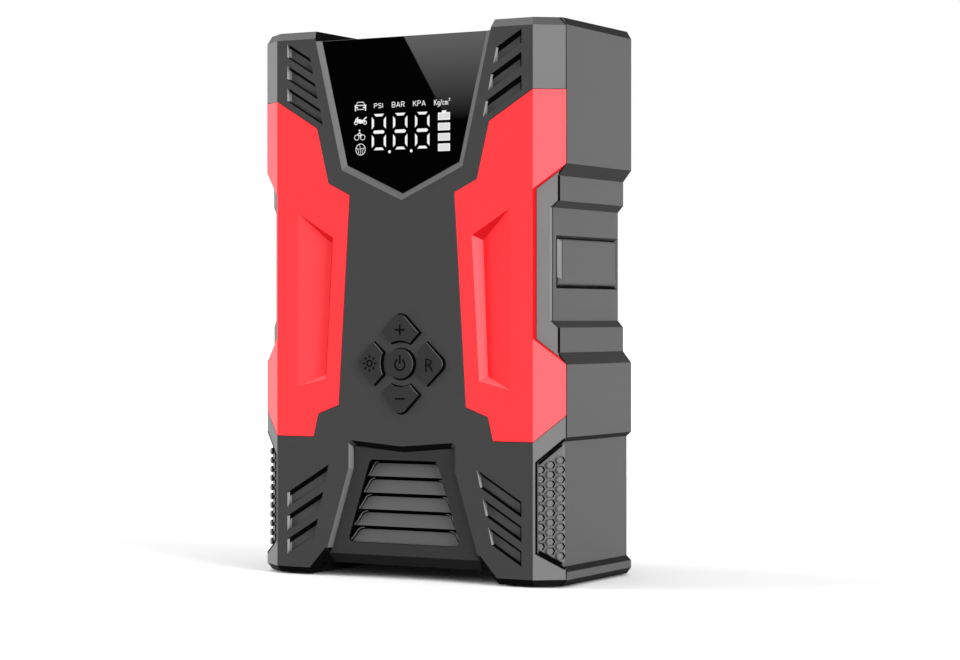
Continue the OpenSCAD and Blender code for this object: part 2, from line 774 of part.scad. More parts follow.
// An outer key: the cap, a wider rim behind the shell wall and the stem that presses its switch
module key_cap(turn) {
    color(dark)
    union() {
        key_prism(turn, 0, key_y0, key_stop_y + eps);
        key_prism(turn, 0.8, key_stop_y, key_stop_y + flange_t);
        rod_y(1.8, stem_at * cos(turn), key_stop_y, switch_y - key_travel - 0.15,
            keys_z + stem_at * sin(turn));
    }
}

module key_power() {
    color(dark)
    union() {
        rod_y(power_r, 0, key_y0, key_stop_y + eps, keys_z);
        rod_y(power_r + 1, 0, key_stop_y, key_stop_y + flange_t, keys_z);
        rod_y(1.8, 0, key_stop_y, switch_y - key_travel - 0.15, keys_z);
    }
}

switch_at = concat([[0, keys_z]],
    [for (a = [0 : 90 : 270]) [stem_at * cos(a), keys_z + stem_at * sin(a)]]);

module tact_switches() {
    color("#c9c9c9")
    for (p = switch_at) {
        rod_y(1.75, p[0], switch_y, switch_y + 0.8, p[1]);
        box([p[0] - 3, switch_y + 0.7, p[1] - 3], [p[0] + 3, key_board_y, p[1] + 3]);
    }
}

module key_board() {
    color("#1f6b3a")
    difference() {
        box([-18.5, key_board_y, keys_z - 18.5], [18.5, key_board_y + board_t, keys_z + 18.5]);
        for (p = key_posts)
            rod_y(1.2, p[0], key_board_y - 1, key_board_y + 3, p[1]);
    }
}

module_y = y_front + lens_sunk + lens_t;
module display_module() {
    color("#101010")
    front_prism([[-18, lens_corner_z + 4], [18, lens_corner_z + 4],
        [21.3, body_h - 14], [-21.3, body_h - 14]], module_y, display_board_y);
}

module display_board() {
    color("#1f6b3a")
    difference() {
        box([-28.5, display_board_y, lens_corner_z + 1], [28.5, display_board_y + board_t, body_h - 10]);
        for (p = display_posts)
            rod_y(1.2, p[0], display_board_y - 1, display_board_y + 3, p[1]);
    }
}

module board_screws() {
    color("#b9bcc0")
    for (p = board_posts)
        translate([p[0], p[2] + board_t, p[1]])
            rotate([-90, 0, 0]) {
                cylinder(r = 2, h = 1.2);
                translate([0, 0, -5])
                    cylinder(r = 1, h = 5 + eps);
            }
}

// ---- Battery and boards ----

cell_h = body_h - 96;
cell_z0 = 71;
bracket_t = 2;
bracket_back_y = y_in_rear - 4.6;
cell_y1 = bracket_back_y - bracket_t;
cell_gap = 0.1;
cell_y0 = cell_y1 - cell_count * cell_t - (cell_count - 1) * cell_gap;
bracket_y0 = cell_y0 - 2;
bracket_x = cell_w / 2 + slip;
main_y = bracket_y0 - board_t;
bracket_screw_at = [for (x = [-bracket_x - 5.5, bracket_x + 5.5])
    for (z = [cell_z0 + 5, cell_z0 + cell_h - 5]) [x, z]];

module battery_cells() {
    color("#3b6ea8")
    for (i = [0 : cell_count - 1])
        translate([-cell_w / 2, cell_y0 + i * (cell_t + cell_gap), cell_z0])
            cube([cell_w, cell_t, cell_h]);
}

module battery_bracket() {
    t = bracket_t;
    z1 = cell_z0 + cell_h;
    color("#222222")
    difference() {
        union() {
            box([-bracket_x - t, bracket_y0, cell_z0 - t], [bracket_x + t, bracket_back_y, z1 + slip + t]);
            for (p = bracket_screw_at)
                box([p[0] - 4, bracket_back_y - t, p[1] - 4], [p[0] + 4, bracket_back_y, p[1] + 4]);
        }
        box([-bracket_x, bracket_y0 - 1, cell_z0], [bracket_x, bracket_back_y - t, z1 + slip]);
        for (p = bracket_screw_at)
            rod_y(1.5, p[0], bracket_back_y - t - 1, bracket_back_y + 1, p[1]);
    }
}

module bracket_screws() {
    color("#b9bcc0")
    for (p = bracket_screw_at)
        translate([p[0], bracket_back_y, p[1]])
            rotate([90, 0, 0]) {
                translate([0, 0, bracket_t])
                    cylinder(r = 2.5, h = 1.5);
                translate([0, 0, -4])
                    cylinder(r = 1.05, h = 4 + bracket_t + eps);
            }
}

module main_board() {
    color("#1f6b3a")
    box([-bracket_x - 1.5, main_y, cell_z0 - 1], [bracket_x + 1.5, main_y + board_t, cell_z0 + cell_h]);
}

module board_components() {
    color("#2b2b2b")
    union() {
        box([-26, main_y - 6, cell_z0 + 34], [-8, main_y, cell_z0 + 50]);
        box([-4, main_y - 5, cell_z0 + 36], [6, main_y, cell_z0 + 46]);
    }
    for (x = [12 : 7 : 26])
        color("#9aa0a6")
            rod_y(3, x, main_y - 6.5, main_y, cell_z0 + 48);
    for (x = [-24 : 9 : 21])
        color("#1a1a1a")
            box([x, main_y - 1.6, cell_z0 + 56], [x + 6, main_y, cell_z0 + 62]);
}

// ---- Ports ----

socket_x = [grip_in - 12.8, grip_in - 0.9];
socket_y = [cover_y[0] + 6, cover_y[1] - 6];
socket_z = [cover_z[0] + 3.5, cover_z[1] - 0.5];
contact_y = [for (s = [-1, 1]) (socket_y[0] + socket_y[1]) / 2 + s * 7];
socket_mid_z = (socket_z[0] + socket_z[1]) / 2;

module output_socket() {
    color("#1d3f8f")
    difference() {
        box([socket_x[0], socket_y[0], socket_z[0]], [socket_x[1], socket_y[1], socket_z[1]]);
        box([socket_x[1] - 6, socket_y[0] + 2, socket_z[0] + 1.4],
            [socket_x[1] + 1, socket_y[1] - 2, socket_z[1] - 1.4]);
        for (y = contact_y)
            rod_x(3 + slip, socket_x[0] - 1, socket_x[1], y, socket_mid_z);
    }
}

module output_contacts() {
    color("#d8a73a")
    for (y = contact_y)
        difference() {
            rod_x(3, socket_x[0] - 2, socket_x[1] - 6, y, socket_mid_z);
            rod_x(2, socket_x[0] + 1, socket_x[1], y, socket_mid_z);
        }
}

lead_r = 1.6;
module output_leads() {
    x0 = socket_x[0] - 2;
    x1 = bracket_x + bracket_t + lead_r + 0.7;
    y1 = main_y - 3.4;
    for (i = [0, 1]) {
        z1 = socket_mid_z + (i == 0 ? 2.2 : -4.2);
        corners = [[x0, contact_y[i], socket_mid_z], [x1, contact_y[i], socket_mid_z],
            [x1, contact_y[i] - 4, z1], [x1, y1, z1], [27, y1, z1], [27, main_y, z1]];
        color(i == 0 ? "#1a1a1a" : "#c8201f")
            tube(smooth(corners, 4), lead_r, 8, [0, 0, 1]);
    }
}

module port_block() {
    color("#262626")
    difference() {
        box([-socket_x[1], socket_y[0], socket_z[0]], [-socket_x[0], socket_y[1], socket_z[1]]);
        box([-socket_x[1] - 1, usb_a_y[0] - 0.1, usb_a_z[0] - 0.1],
            [-socket_x[0] + 1, usb_a_y[1] + 0.1, usb_a_z[1] + 0.1]);
        usb_c_shape(usb_c_half + 0.1, -socket_x[1] - 1, -socket_x[0] + 1);
    }
}

usb_a_y = [socket_y[0] + 2, socket_y[0] + 16];
usb_a_z = [socket_mid_z - 3.2, socket_mid_z + 3.2];
usb_c_half = 1.9;
usb_c_y = [socket_y[1] - 9, socket_y[1] - 4];

// Stadium-shaped plug profile of radius r, from x0 to x1
module usb_c_shape(r, x0, x1) {
    for (y = usb_c_y)
        rod_x(r, x0, x1, y, socket_mid_z);
    box([x0, usb_c_y[0], socket_mid_z - r], [x1, usb_c_y[1], socket_mid_z + r]);
}

module usb_a_socket() {
    color("#c4c7cb")
    difference() {
        box([-socket_x[1], usb_a_y[0], usb_a_z[0]], [-socket_x[0], usb_a_y[1], usb_a_z[1]]);
        difference() {
            box([-socket_x[1] - 1, usb_a_y[0] + 0.5, usb_a_z[0] + 0.5],
                [-socket_x[0] - 1.5, usb_a_y[1] - 0.5, usb_a_z[1] - 0.5]);
            box([-socket_x[1] + 1.5, usb_a_y[0] + 1.4, usb_a_z[0] + 0.9],
                [-socket_x[0], usb_a_y[1] - 1.4, usb_a_z[0] + 2.5]);
        }
    }
}

module usb_c_socket() {
    color("#c4c7cb")
    union() {
        difference() {
            usb_c_shape(usb_c_half, -socket_x[1], -socket_x[0]);
            usb_c_shape(usb_c_half - 0.35, -socket_x[1] - 1, -socket_x[0] - 1.2);
        }
        box([-socket_x[1] + 1, usb_c_y[0], socket_mid_z - 0.35],
            [-socket_x[0] - 1, usb_c_y[1], socket_mid_z + 0.35]);
    }
}

module port_board() {
    color("#1f6b3a")
    box([-socket_x[0], socket_y[0], socket_z[0] - 2],
        [-socket_x[0] + board_t, socket_y[1], socket_z[1] + 2]);
}

module port_cover() {
    y = cover_y;
    z = [pivot_z, cover_z[1]];
    mid = (y[0] + y[1]) / 2;
    color("#454545")
    difference() {
        union() {
            box([cover_x0, y[0], z[0]], [grip_x - cover_bevel, y[1], z[1]]);
            tapered_x(rectangle(y, z, 0), grip_x - cover_bevel, [[y[0] + cover_lead, z[0]],
                [y[1] - cover_bevel, z[0]], [y[1] - cover_bevel, z[1] - cover_bevel],
                [y[0] + cover_lead, z[1] - cover_bevel]], grip_x);
            rod_y(pivot_r, pivot_x, y[0], y[1], pivot_z);
        }
        rod_y(pin_r + slip, pivot_x, y[0] - 1, y[1] + 1, pivot_z);
        box([cover_x0 - 1, mid - 5, z[1] - 1.2], [cover_x0 + 0.7, mid + 5, z[1] + 1]);
    }
}

module cover_pin() {
    color("#c4c7cb")
    rod_y(pin_r, pivot_x, cover_y[0] - cover_gap - 2.4, cover_y[1] + cover_gap + pin_seat, pivot_z);
}

// ---- Lamp and air outlet ----

lamp_x = 30;
lamp_y = 13;
lamp_t = 1.2;
lamp_at = [-12, 6];
outlet_at = [20, 6];
outlet_body_r = 5.5;
outlet_flange_r = 7.5;
hose_z = ceiling_z - 6;
reflector_h = 6;
reflector_r = 5;
lamp_spots = [for (s = [-1, 1]) lamp_at + [s * 7, 0]];

// Box with the lamp's outline, m larger all round
module lamp_box(m, z0, z1) {
    box([lamp_at[0] - lamp_x / 2 - m, lamp_at[1] - lamp_y / 2 - m, z0],
        [lamp_at[0] + lamp_x / 2 + m, lamp_at[1] + lamp_y / 2 + m, z1]);
}

module lamp_lens() {
    color("#dfe6ea")
        lamp_box(0, well_z - lamp_t, well_z);
}

module lamp_reflector() {
    color("#e8eaec")
    difference() {
        lamp_box(0, ceiling_z - reflector_h, ceiling_z);
        for (p = lamp_spots)
            translate([p[0], p[1], ceiling_z - reflector_h - 0.5])
                cylinder(r1 = 1.6, r2 = reflector_r, h = reflector_h + 0.5 + eps);
    }
}

module lamp_board() {
    z = ceiling_z - reflector_h;
    color("#f2f2ee")
    union() {
        lamp_box(0, z - board_t, z);
        for (p = lamp_spots)
            box([p[0] - 1, p[1] - 1, z - eps], [p[0] + 1, p[1] + 1, z + 0.6]);
    }
}

barb_r = 2.2;
module air_outlet() {
    color("#c9a24a")
    difference() {
        union() {
            rod_z(outlet_flange_r, outlet_at[0], outlet_at[1], well_z - 1.5, well_z);
            rod_z(outlet_body_r, outlet_at[0], outlet_at[1], hose_z - 3.2, well_z - 1);
            rod_x(barb_r, outlet_at[0], outlet_at[0] + 11, outlet_at[1], hose_z);
        }
        rod_z(outlet_r, outlet_at[0], outlet_at[1], hose_z, well_z + 1);
        rod_x(1, outlet_at[0], outlet_at[0] + 12, outlet_at[1], hose_z);
    }
}

// ---- Inflator ----

motor_y = -7.6;
motor_z = 24.4;
pitch_r1 = gear_m * pinion_teeth / 2;
pitch_r2 = gear_m * gear_teeth / 2;
crank_y = motor_y + pitch_r1 + pitch_r2 + 0.1;
crank_z = motor_z;
plate_x = [-10, -7];
flange_y = y_in_rear - 5.5;
frame_screw_at = [[plate_x[0] - 8, motor_z - 8], [plate_x[0] - 8, motor_z + 8]];
gear_x = [plate_x[1] + 0.6, plate_x[1] + 5.6];
crank_shaft_r = 2;
bush_r = 4;
crank_pin_r = 1.5;
rod_x0 = gear_x[1] + 0.3;
rod_x1 = rod_x0 + 4.5;
rod_mid = (rod_x0 + rod_x1) / 2;
cylinder_r = bore_r + 1.6;
cylinder_z = [crank_z + pitch_r2 + 3.6, crank_z + pitch_r2 + 23];
head_h = 5;
piston_r = bore_r - crank_throw - 0.2;
piston_z = cylinder_z[1] - crank_throw - 5.4;

module inflator_frame() {
    arm_z = cylinder_z[0];
    color("#a9adb2")
    difference() {
        union() {
            box([plate_x[0], motor_y - motor_r, crank_z - 15], [plate_x[1], crank_y + 7, arm_z]);
            box([plate_x[0] - 14, flange_y - 2.5, crank_z - 14], [plate_x[1], flange_y, crank_z + 14]);
            box([plate_x[0], flange_y - 9, crank_z - 14], [plate_x[1], flange_y, crank_z + 14]);
            rod_x(bush_r + 1.2, plate_x[0] - 3, plate_x[1], crank_y, crank_z);
            box([plate_x[0], crank_y - 13, arm_z - 2.4], [rod_mid + 13, crank_y + 13, arm_z]);
        }
        rod_x(5.05, plate_x[0] - 1, plate_x[1] + 1, motor_y, motor_z);
        rod_x(bush_r + 0.02, plate_x[0] - 4, plate_x[1] + 1, crank_y, crank_z);
        rod_z(bore_r, rod_mid, crank_y, arm_z - 3, arm_z + 1);
        for (p = head_screw_at)
            rod_z(1.25, p[0], p[1], arm_z - 2.3, arm_z + 1);
        for (p = frame_screw_at)
            rod_y(1.5, p[0], flange_y - 4, flange_y + 1, p[1]);
        for (s = [-1, 1])
            rod_x(1.3, plate_x[0] - 1, plate_x[1] + 1, motor_y, motor_z + s * 8);
    }
}

module frame_screws() {
    color("#b9bcc0")
    for (p = frame_screw_at)
        translate([p[0], flange_y, p[1]])
            rotate([90, 0, 0]) {
                translate([0, 0, 2.5])
                    cylinder(r = 2.5, h = 1.5);
                translate([0, 0, -4.5])
                    cylinder(r = 1.05, h = 7 + eps);
            }
    for (s = [-1, 1]) {
        color("#b9bcc0")
        union() {
            rod_x(1.25, plate_x[0] - 2.8, plate_x[1] + eps, motor_y, motor_z + s * 8);
            rod_x(2, plate_x[1], plate_x[1] + 0.5, motor_y, motor_z + s * 8);
        }
    }
}

module cylinder_sleeve() {
    color("#b6babf")
    difference() {
        rod_z(cylinder_r, rod_mid, crank_y, cylinder_z[0], cylinder_z[1]);
        rod_z(bore_r, rod_mid, crank_y, cylinder_z[0] - 1, cylinder_z[1] + 1);
    }
}

head_screw_at = [for (a = [45 : 90 : 315]) [rod_mid + 13 * cos(a), crank_y + 13 * sin(a)]];

module cylinder_head() {
    z0 = cylinder_z[1];
    color("#9da1a6")
    difference() {
        union() {
            rod_z(cylinder_r, rod_mid, crank_y, z0, z0 + head_h);
            for (p = head_screw_at)
                rod_z(3, p[0], p[1], z0, z0 + head_h);
            rod_x(barb_r, rod_mid, rod_mid + cylinder_r + 5, crank_y, z0 + head_h / 2);
        }
        for (p = head_screw_at)
            rod_z(1.3, p[0], p[1], z0 - 1, z0 + head_h + 1);
        rod_x(1, rod_mid, rod_mid + cylinder_r + 6, crank_y, z0 + head_h / 2);
        rod_z(1, rod_mid, crank_y, z0 - 1, z0 + head_h / 2);
    }
}

module head_screws() {
    color("#b9bcc0")
    for (p = head_screw_at) {
        z1 = cylinder_z[1] + head_h;
        union() {
            rod_z(2.2, p[0], p[1], z1, z1 + 1.5);
            rod_z(1.2, p[0], p[1], cylinder_z[0] - 2.2, z1 + eps);
        }
    }
}

module motor_can() {
    x1 = plate_x[0];
    color("#8d9196")
    difference() {
        union() {
            rod_x(motor_r, x1 - motor_l, x1, motor_y, motor_z);
            rod_x(5, x1 - eps, x1 + 2, motor_y, motor_z);
        }
        rod_x(1.55, x1 - motor_l - 1, x1 + 3, motor_y, motor_z);
        for (s = [-1, 1])
            rod_x(1.3, x1 - 3, x1 + 1, motor_y, motor_z + s * 8);
    }
}

module motor_shaft() {
    color("#d5d8db")
    rod_x(1.5, fan_x[0] - 0.5, gear_x[1], motor_y, motor_z);
}

fan_x = [plate_x[0] - motor_l - 5.2, plate_x[0] - motor_l - 0.8];
module cooling_fan() {
    color("#2a2a2a")
    difference() {
        union() {
            rod_x(3.4, fan_x[0], fan_x[1], motor_y, motor_z);
            for (i = [0 : 6])
                translate([fan_x[0], motor_y, motor_z])
                    rotate([360 / 7 * i, 0, 0])
                        translate([2.2, 0, 3])
                            rotate([0, 0, 40])
                                box([-0.5, -2.6, 0], [0.5, 2.6, 8]);
        }
        rod_x(1.52, fan_x[0] - 1, fan_x[1] + 1, motor_y, motor_z);
    }
}

// Spur gear outline: tip, root and flank widths follow the module
function tooth(r, a) = [r * cos(a), r * sin(a)];
function gear_outline(teeth) = let (rp = gear_m * teeth / 2, p = 360 / teeth)
    [for (i = [0 : teeth - 1]) each [
        tooth(rp - 1.15 * gear_m, i * p - p * 0.33), tooth(rp - 0.3 * gear_m, i * p - p * 0.23),
        tooth(rp + 0.8 * gear_m, i * p - p * 0.1), tooth(rp + 0.8 * gear_m, i * p + p * 0.1),
        tooth(rp - 0.3 * gear_m, i * p + p * 0.23), tooth(rp - 1.15 * gear_m, i * p + p * 0.33)]];

module gear_disc(teeth, x0, x1, y, z, turn) {
    translate([x0, y, z])
        rotate([90, 0, 90])
            rotate(turn)
                linear_extrude(x1 - x0)
                    polygon(gear_outline(teeth));
}

module motor_pinion() {
    color("#d8b23c")
    difference() {
        gear_disc(pinion_teeth, gear_x[0], gear_x[1], motor_y, motor_z, 0);
        rod_x(1.52, gear_x[0] - 1, gear_x[1] + 1, motor_y, motor_z);
    }
}

module crank_gear() {
    color("#e8e4d8")
    difference() {
        union() {
            gear_disc(gear_teeth, gear_x[0], gear_x[1], crank_y, crank_z, 180 + 180 / gear_teeth);
            rod_x(crank_pin_r, gear_x[1] - eps, rod_x1 + 0.3, crank_y, crank_z - crank_throw);
        }
        rod_x(crank_shaft_r + 0.02, gear_x[0] - 1, gear_x[0] + 4, crank_y, crank_z);
    }
}

module crank_shaft() {
    color("#d5d8db")
    rod_x(crank_shaft_r, plate_x[0] - 3.5, gear_x[0] + 4, crank_y, crank_z);
}

module crank_bush() {
    color("#c98f3e")
    difference() {
        rod_x(bush_r, plate_x[0] - 3, plate_x[1] + 0.3, crank_y, crank_z);
        rod_x(crank_shaft_r + slip, plate_x[0] - 4, plate_x[1] + 1, crank_y, crank_z);
    }
}

// One-piece connecting rod and piston, at the bottom of its stroke
module piston_rod() {
    z0 = crank_z - crank_throw;
    z1 = piston_z - crank_throw;
    color("#ece8dc")
    difference() {
        union() {
            rod_x(4, rod_x0, rod_x1, crank_y, z0);
            box([rod_x0, crank_y - 2, z0 + 2], [rod_x1, crank_y + 2, z1 + 1]);
            rod_z(piston_r - 0.8, rod_mid, crank_y, z1, z1 + 4);
        }
        rod_x(crank_pin_r + slip, rod_x0 - 1, rod_x1 + 1, crank_y, z0);
    }
}

module piston_seal() {
    z1 = piston_z - crank_throw;
    color("#1b1b1b")
    difference() {
        rod_z(piston_r, rod_mid, crank_y, z1 + 1, z1 + 3);
        rod_z(piston_r - 0.8, rod_mid, crank_y, z1, z1 + 4);
    }
}

hose_r = 2.6;
module air_hose() {
    z0 = cylinder_z[1] + head_h / 2;
    x0 = rod_mid + cylinder_r + 5;
    x1 = outlet_at[0] + 11;
    xs = 43;
    ys = y_in_rear - 6;
    corners = [[x0, crank_y, z0], [x0 + 9, crank_y, z0], [37, ys, z0], [xs, ys, cell_z0 + 2],
        [xs, ys, cell_z0 + 30], [xs, ys, cell_z0 + cell_h - 22], [xs, ys, cell_z0 + cell_h - 3],
        [x1 + 6.5, outlet_at[1] + 7, hose_z - 4], [x1 + 4.5, outlet_at[1], hose_z],
        [x1, outlet_at[1], hose_z]];
    color("#1f1f1f")
        tube(smooth(corners, 5), hose_r, 10, [0, 1, 0]);
}

front_shell();
rear_shell();
mirror([1, 0, 0]) red_panel();  // red_panel_left
red_panel();  // red_panel_right
display_lens();
color("#7c7c7c") mirror([1, 0, 0]) corner_grip();  // corner_grip_left
color("#7c7c7c") corner_grip();  // corner_grip_right
louvre_grille();
foot_pads();
case_screws();
display_module();
display_board();
key_board();
tact_switches();
board_screws();
main_board();
board_components();
battery_cells();
battery_bracket();
bracket_screws();
output_socket();
output_contacts();
output_leads();
port_block();
usb_a_socket();
usb_c_socket();
port_board();
lamp_lens();
lamp_reflector();
lamp_board();
air_outlet();
air_hose();
inflator_frame();
cylinder_sleeve();  // cylinder
cylinder_head();
head_screws();
frame_screws();
motor_can();
crank_bush();
mirror([1, 0, 0]) cover_pin();  // cover_pin_left
cover_pin();  // cover_pin_right
key_power();
key_cap(90);  // key_plus
key_cap(270);  // key_minus
key_cap(180);  // key_light
key_cap(0);  // key_mode
mirror([1, 0, 0]) port_cover();  // port_cover_left
port_cover();  // port_cover_right
motor_shaft();
motor_pinion();
cooling_fan();
crank_gear();
crank_shaft();
piston_rod();
piston_seal();
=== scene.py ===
"""Looks of a hand-held jump starter pack: finishes, signs, grip studs and studio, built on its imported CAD."""
import logging
import math
from dataclasses import dataclass
from enum import Enum
from typing import Callable, Iterable, Sequence
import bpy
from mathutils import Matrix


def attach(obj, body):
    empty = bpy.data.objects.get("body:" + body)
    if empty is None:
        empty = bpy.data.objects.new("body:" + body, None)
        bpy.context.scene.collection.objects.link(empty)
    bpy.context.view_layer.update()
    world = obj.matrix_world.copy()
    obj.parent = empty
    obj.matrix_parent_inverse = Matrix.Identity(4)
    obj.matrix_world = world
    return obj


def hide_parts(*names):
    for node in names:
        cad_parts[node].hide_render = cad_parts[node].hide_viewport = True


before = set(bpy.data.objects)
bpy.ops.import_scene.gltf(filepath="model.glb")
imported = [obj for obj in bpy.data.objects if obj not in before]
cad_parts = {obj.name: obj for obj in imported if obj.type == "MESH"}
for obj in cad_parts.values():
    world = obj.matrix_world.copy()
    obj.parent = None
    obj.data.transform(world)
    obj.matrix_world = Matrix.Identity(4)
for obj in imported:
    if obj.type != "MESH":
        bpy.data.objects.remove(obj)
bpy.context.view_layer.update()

import bmesh
import bpy
from mathutils import Matrix, Vector

log = logging.getLogger("pack")
MM = 0.001
SEAM_Y = -22.4  # the shells' parting plane, in mm
FLAT = 0.4  # faces that differ by less, in degrees, are one flat face
CORNER = (48.9, -29.0)  # where the front meets its slanted corners, as (x, y) in mm
KEYS_Z = 71.1  # the middle of the cross of keys
SKIN = 0.02  # how far signs and thin lines of painted shade stand out of the surface they lie on, in mm
# how far plates of painted shade and painted highlight stand out of the surface they lie on, in mm
PAINTED_PLATE = 0.03
Point = tuple[float, float]
Outline = Sequence[Point]


# ---------------------------------------------------------------- materials

def linear(hex_colour: str) -> tuple[float, float, float, float]:
    """Turns an sRGB hex colour such as "#3c3c3c" to the linear values that shaders take.

    Args:
        hex_colour: The colour, with its leading #.

    Returns:
        Red, green, blue and an alpha of 1.
    """
    values = [int(hex_colour[i:i + 2], 16) / 255 for i in (1, 3, 5)]
    return (*(v / 12.92 if v <= 0.04045 else ((v + 0.055) / 1.055) ** 2.4 for v in values), 1.0)


def blank(name: str) -> bpy.types.Material:
    """A new material whose tree is empty."""
    made = bpy.data.materials.new(name)
    made.use_nodes = True
    made.node_tree.nodes.clear()
    return made


def add(tree: bpy.types.NodeTree, kind: str, values: dict | None = None, links: dict | None = None,
        **settings: object) -> bpy.types.Node:
    """Adds a node to a tree, sets it and links its inputs.

    Args:
        tree: The shader or geometry tree.
        kind: The node's type name.
        values: Input values, by socket name or number.
        links: Output sockets that feed the inputs, by socket name or number.
        **settings: Properties of the node itself.

    Returns:
        The new node.
    """
    node = tree.nodes.new(kind)
    for name, setting in settings.items():
        setattr(node, name, setting)
    for key, value in (values or {}).items():
        node.inputs[key].default_value = value
    for key, socket in (links or {}).items():
        tree.links.new(socket, node.inputs[key])
    return node


class Pattern(Enum):
    """The relief that a surface's making leaves on it."""

    GRAIN = "even sparks of a textured mould"
    BRUSHED = "fine lines along X"
    TURNED = "fine rings round Z"
    FLOW = "soft waves of moulded rubber"
    FRESNEL = "rings of a clear moulded lens"


@dataclass(frozen=True)
class Finish:
    """A surface finish: its colour, gloss and the relief of its making."""

    name: str
    colour: str
    roughness: float
    pattern: Pattern = Pattern.GRAIN
    grain_mm: float = 0.5
    depth_mm: float = 0.012
    metallic: float = 0.0
    specular: float = 0.5
    coat: float = 0.0
    ior: float = 1.5
    transmission: float = 0.0
    mottle: float = 0.06
    edge_mm: float = 0.0

    def height(self, tree: bpy.types.NodeTree, place: bpy.types.NodeSocket) -> bpy.types.NodeSocket:
        """Builds the relief of the finish.

        Args:
            tree: The material's tree.
            place: Object coordinates in metres.

        Returns:
            A height from 0 to 1.
        """
        scale = 1 / (self.grain_mm * MM)
        if self.pattern in (Pattern.TURNED, Pattern.FRESNEL):
            wave = add(tree, "ShaderNodeTexWave", {"Scale": scale / 20, "Distortion": 0.3, "Detail": 1.0},
                       {"Vector": place}, wave_type="RINGS", rings_direction="Z")
            return wave.outputs["Fac"]
        stretch = (0.04, 1.0, 1.0) if self.pattern is Pattern.BRUSHED else (1.0, 1.0, 1.0)
        mapping = add(tree, "ShaderNodeMapping", {"Scale": stretch}, {"Vector": place})
        detail = 1.0 if self.pattern is Pattern.FLOW else 3.0
        noise = add(tree, "ShaderNodeTexNoise", {"Scale": scale, "Detail": detail, "Roughness": 0.55},
                    {"Vector": mapping.outputs["Vector"]})
        return noise.outputs["Fac"]

    def material(self) -> bpy.types.Material:
        """Gives the finish's material, made once."""
        made = bpy.data.materials.get(self.name)
        if made:
            return made
        made = blank(self.name)
        tree = made.node_tree
        place = add(tree, "ShaderNodeTexCoord").outputs["Object"]
        cloud = add(tree, "ShaderNodeTexNoise", {"Scale": 1 / (14 * MM), "Detail": 2.0}, {"Vector": place})
        shade = add(tree, "ShaderNodeMapRange",
                    {"To Min": 1 - self.mottle, "To Max": 1 + self.mottle}, {"Value": cloud.outputs["Fac"]})
        tint = add(tree, "ShaderNodeVectorMath", {0: linear(self.colour)[:3]}, {3: shade.outputs[0]},
                   operation="SCALE")
        gloss = add(tree, "ShaderNodeMapRange",
                    {"To Min": self.roughness * 0.9, "To Max": min(1.0, self.roughness * 1.1)},
                    {"Value": cloud.outputs["Fac"]})
        relief = self.height(tree, place)
        bump = add(tree, "ShaderNodeBump", {"Strength": 1.0, "Distance": self.depth_mm * MM},
                   {"Height": relief})
        if self.edge_mm:
            rounding = add(tree, "ShaderNodeBevel", {"Radius": self.edge_mm * MM}, samples=4)
            tree.links.new(rounding.outputs[0], bump.inputs["Normal"])
        shader = add(tree, "ShaderNodeBsdfPrincipled",
                     {"Metallic": self.metallic, "IOR": self.ior, "Specular IOR Level": self.specular,
                      "Transmission Weight": self.transmission, "Coat Weight": self.coat,
                      "Coat Roughness": 0.03},
                     {"Base Color": tint.outputs[0], "Roughness": gloss.outputs[0],
                      "Normal": bump.outputs[0]})
        add(tree, "ShaderNodeOutputMaterial", links={"Surface": shader.outputs[0]})
        made.diffuse_color = linear(self.colour)
        return made


@dataclass(frozen=True)
class LitSign:
    """Display segments that glow evenly through a diffuser."""

    name: str
    colour: str
    strength: float

    def material(self) -> bpy.types.Material:
        """Gives the sign's glowing material, made once."""
        made = bpy.data.materials.get(self.name)
        if made:
            return made
        made = blank(self.name)
        tree = made.node_tree
        place = add(tree, "ShaderNodeTexCoord").outputs["Object"]
        cloud = add(tree, "ShaderNodeTexNoise", {"Scale": 1 / (2 * MM)}, {"Vector": place})
        shade = add(tree, "ShaderNodeMapRange", {"To Min": 0.94, "To Max": 1.0}, {"Value": cloud.outputs["Fac"]})
        tint = add(tree, "ShaderNodeVectorMath", {0: linear(self.colour)[:3]}, {3: shade.outputs[0]},
                   operation="SCALE")
        shader = add(tree, "ShaderNodeBsdfPrincipled",
                     {"Base Color": linear("#050505"), "Roughness": 0.4, "Emission Strength": self.strength,
                      "Specular IOR Level": 0.1},
                     {"Emission Color": tint.outputs[0]})
        add(tree, "ShaderNodeOutputMaterial", links={"Surface": shader.outputs[0]})
        return made


# Textured ABS in charcoal: the front takes light softly and shows no highlight.
FASCIA = Finish("textured_abs_charcoal", "#343434", 0.55, grain_mm=0.35, depth_mm=0.008, specular=0.12, edge_mm=0.2)
# Painted shade: the same ABS painted a shade deeper on the sunk panel round the louvre and on its walls.
SUNK = Finish("textured_abs_sunk_shade", "#2a2a2a", 0.6, grain_mm=0.35, depth_mm=0.008, specular=0.1, edge_mm=0.2)
# Textured ABS in grey: the sides stand out from the front.
SIDE = Finish("textured_abs_side", "#484848", 0.5, grain_mm=0.35, depth_mm=0.008, specular=0.15, edge_mm=0.2)
# Painted light: the slanted corners and the waist, in ABS painted clearly paler than the sides where they face the
# lamps; the same tone makes painted highlights on the sunk panel's left wall and the louvre's ribs.
GREY = Finish("textured_abs_grey", "#666666", 0.45, grain_mm=0.35, depth_mm=0.006, specular=0.2, edge_mm=0.2)
# Painted light: the bevel round the lens, the front rims and the sunk panel's lower left wall, painted between the
# front and the corners in tone for how the lamps fall on them.
BEVEL = Finish("textured_abs_bevel", "#565656", 0.5, grain_mm=0.35, depth_mm=0.006, specular=0.15, edge_mm=0.15)
# Floors of the vents: the front's ABS with a little more light on it.
VENT = Finish("textured_abs_vent", "#434343", 0.55, grain_mm=0.35, depth_mm=0.006, specular=0.12)
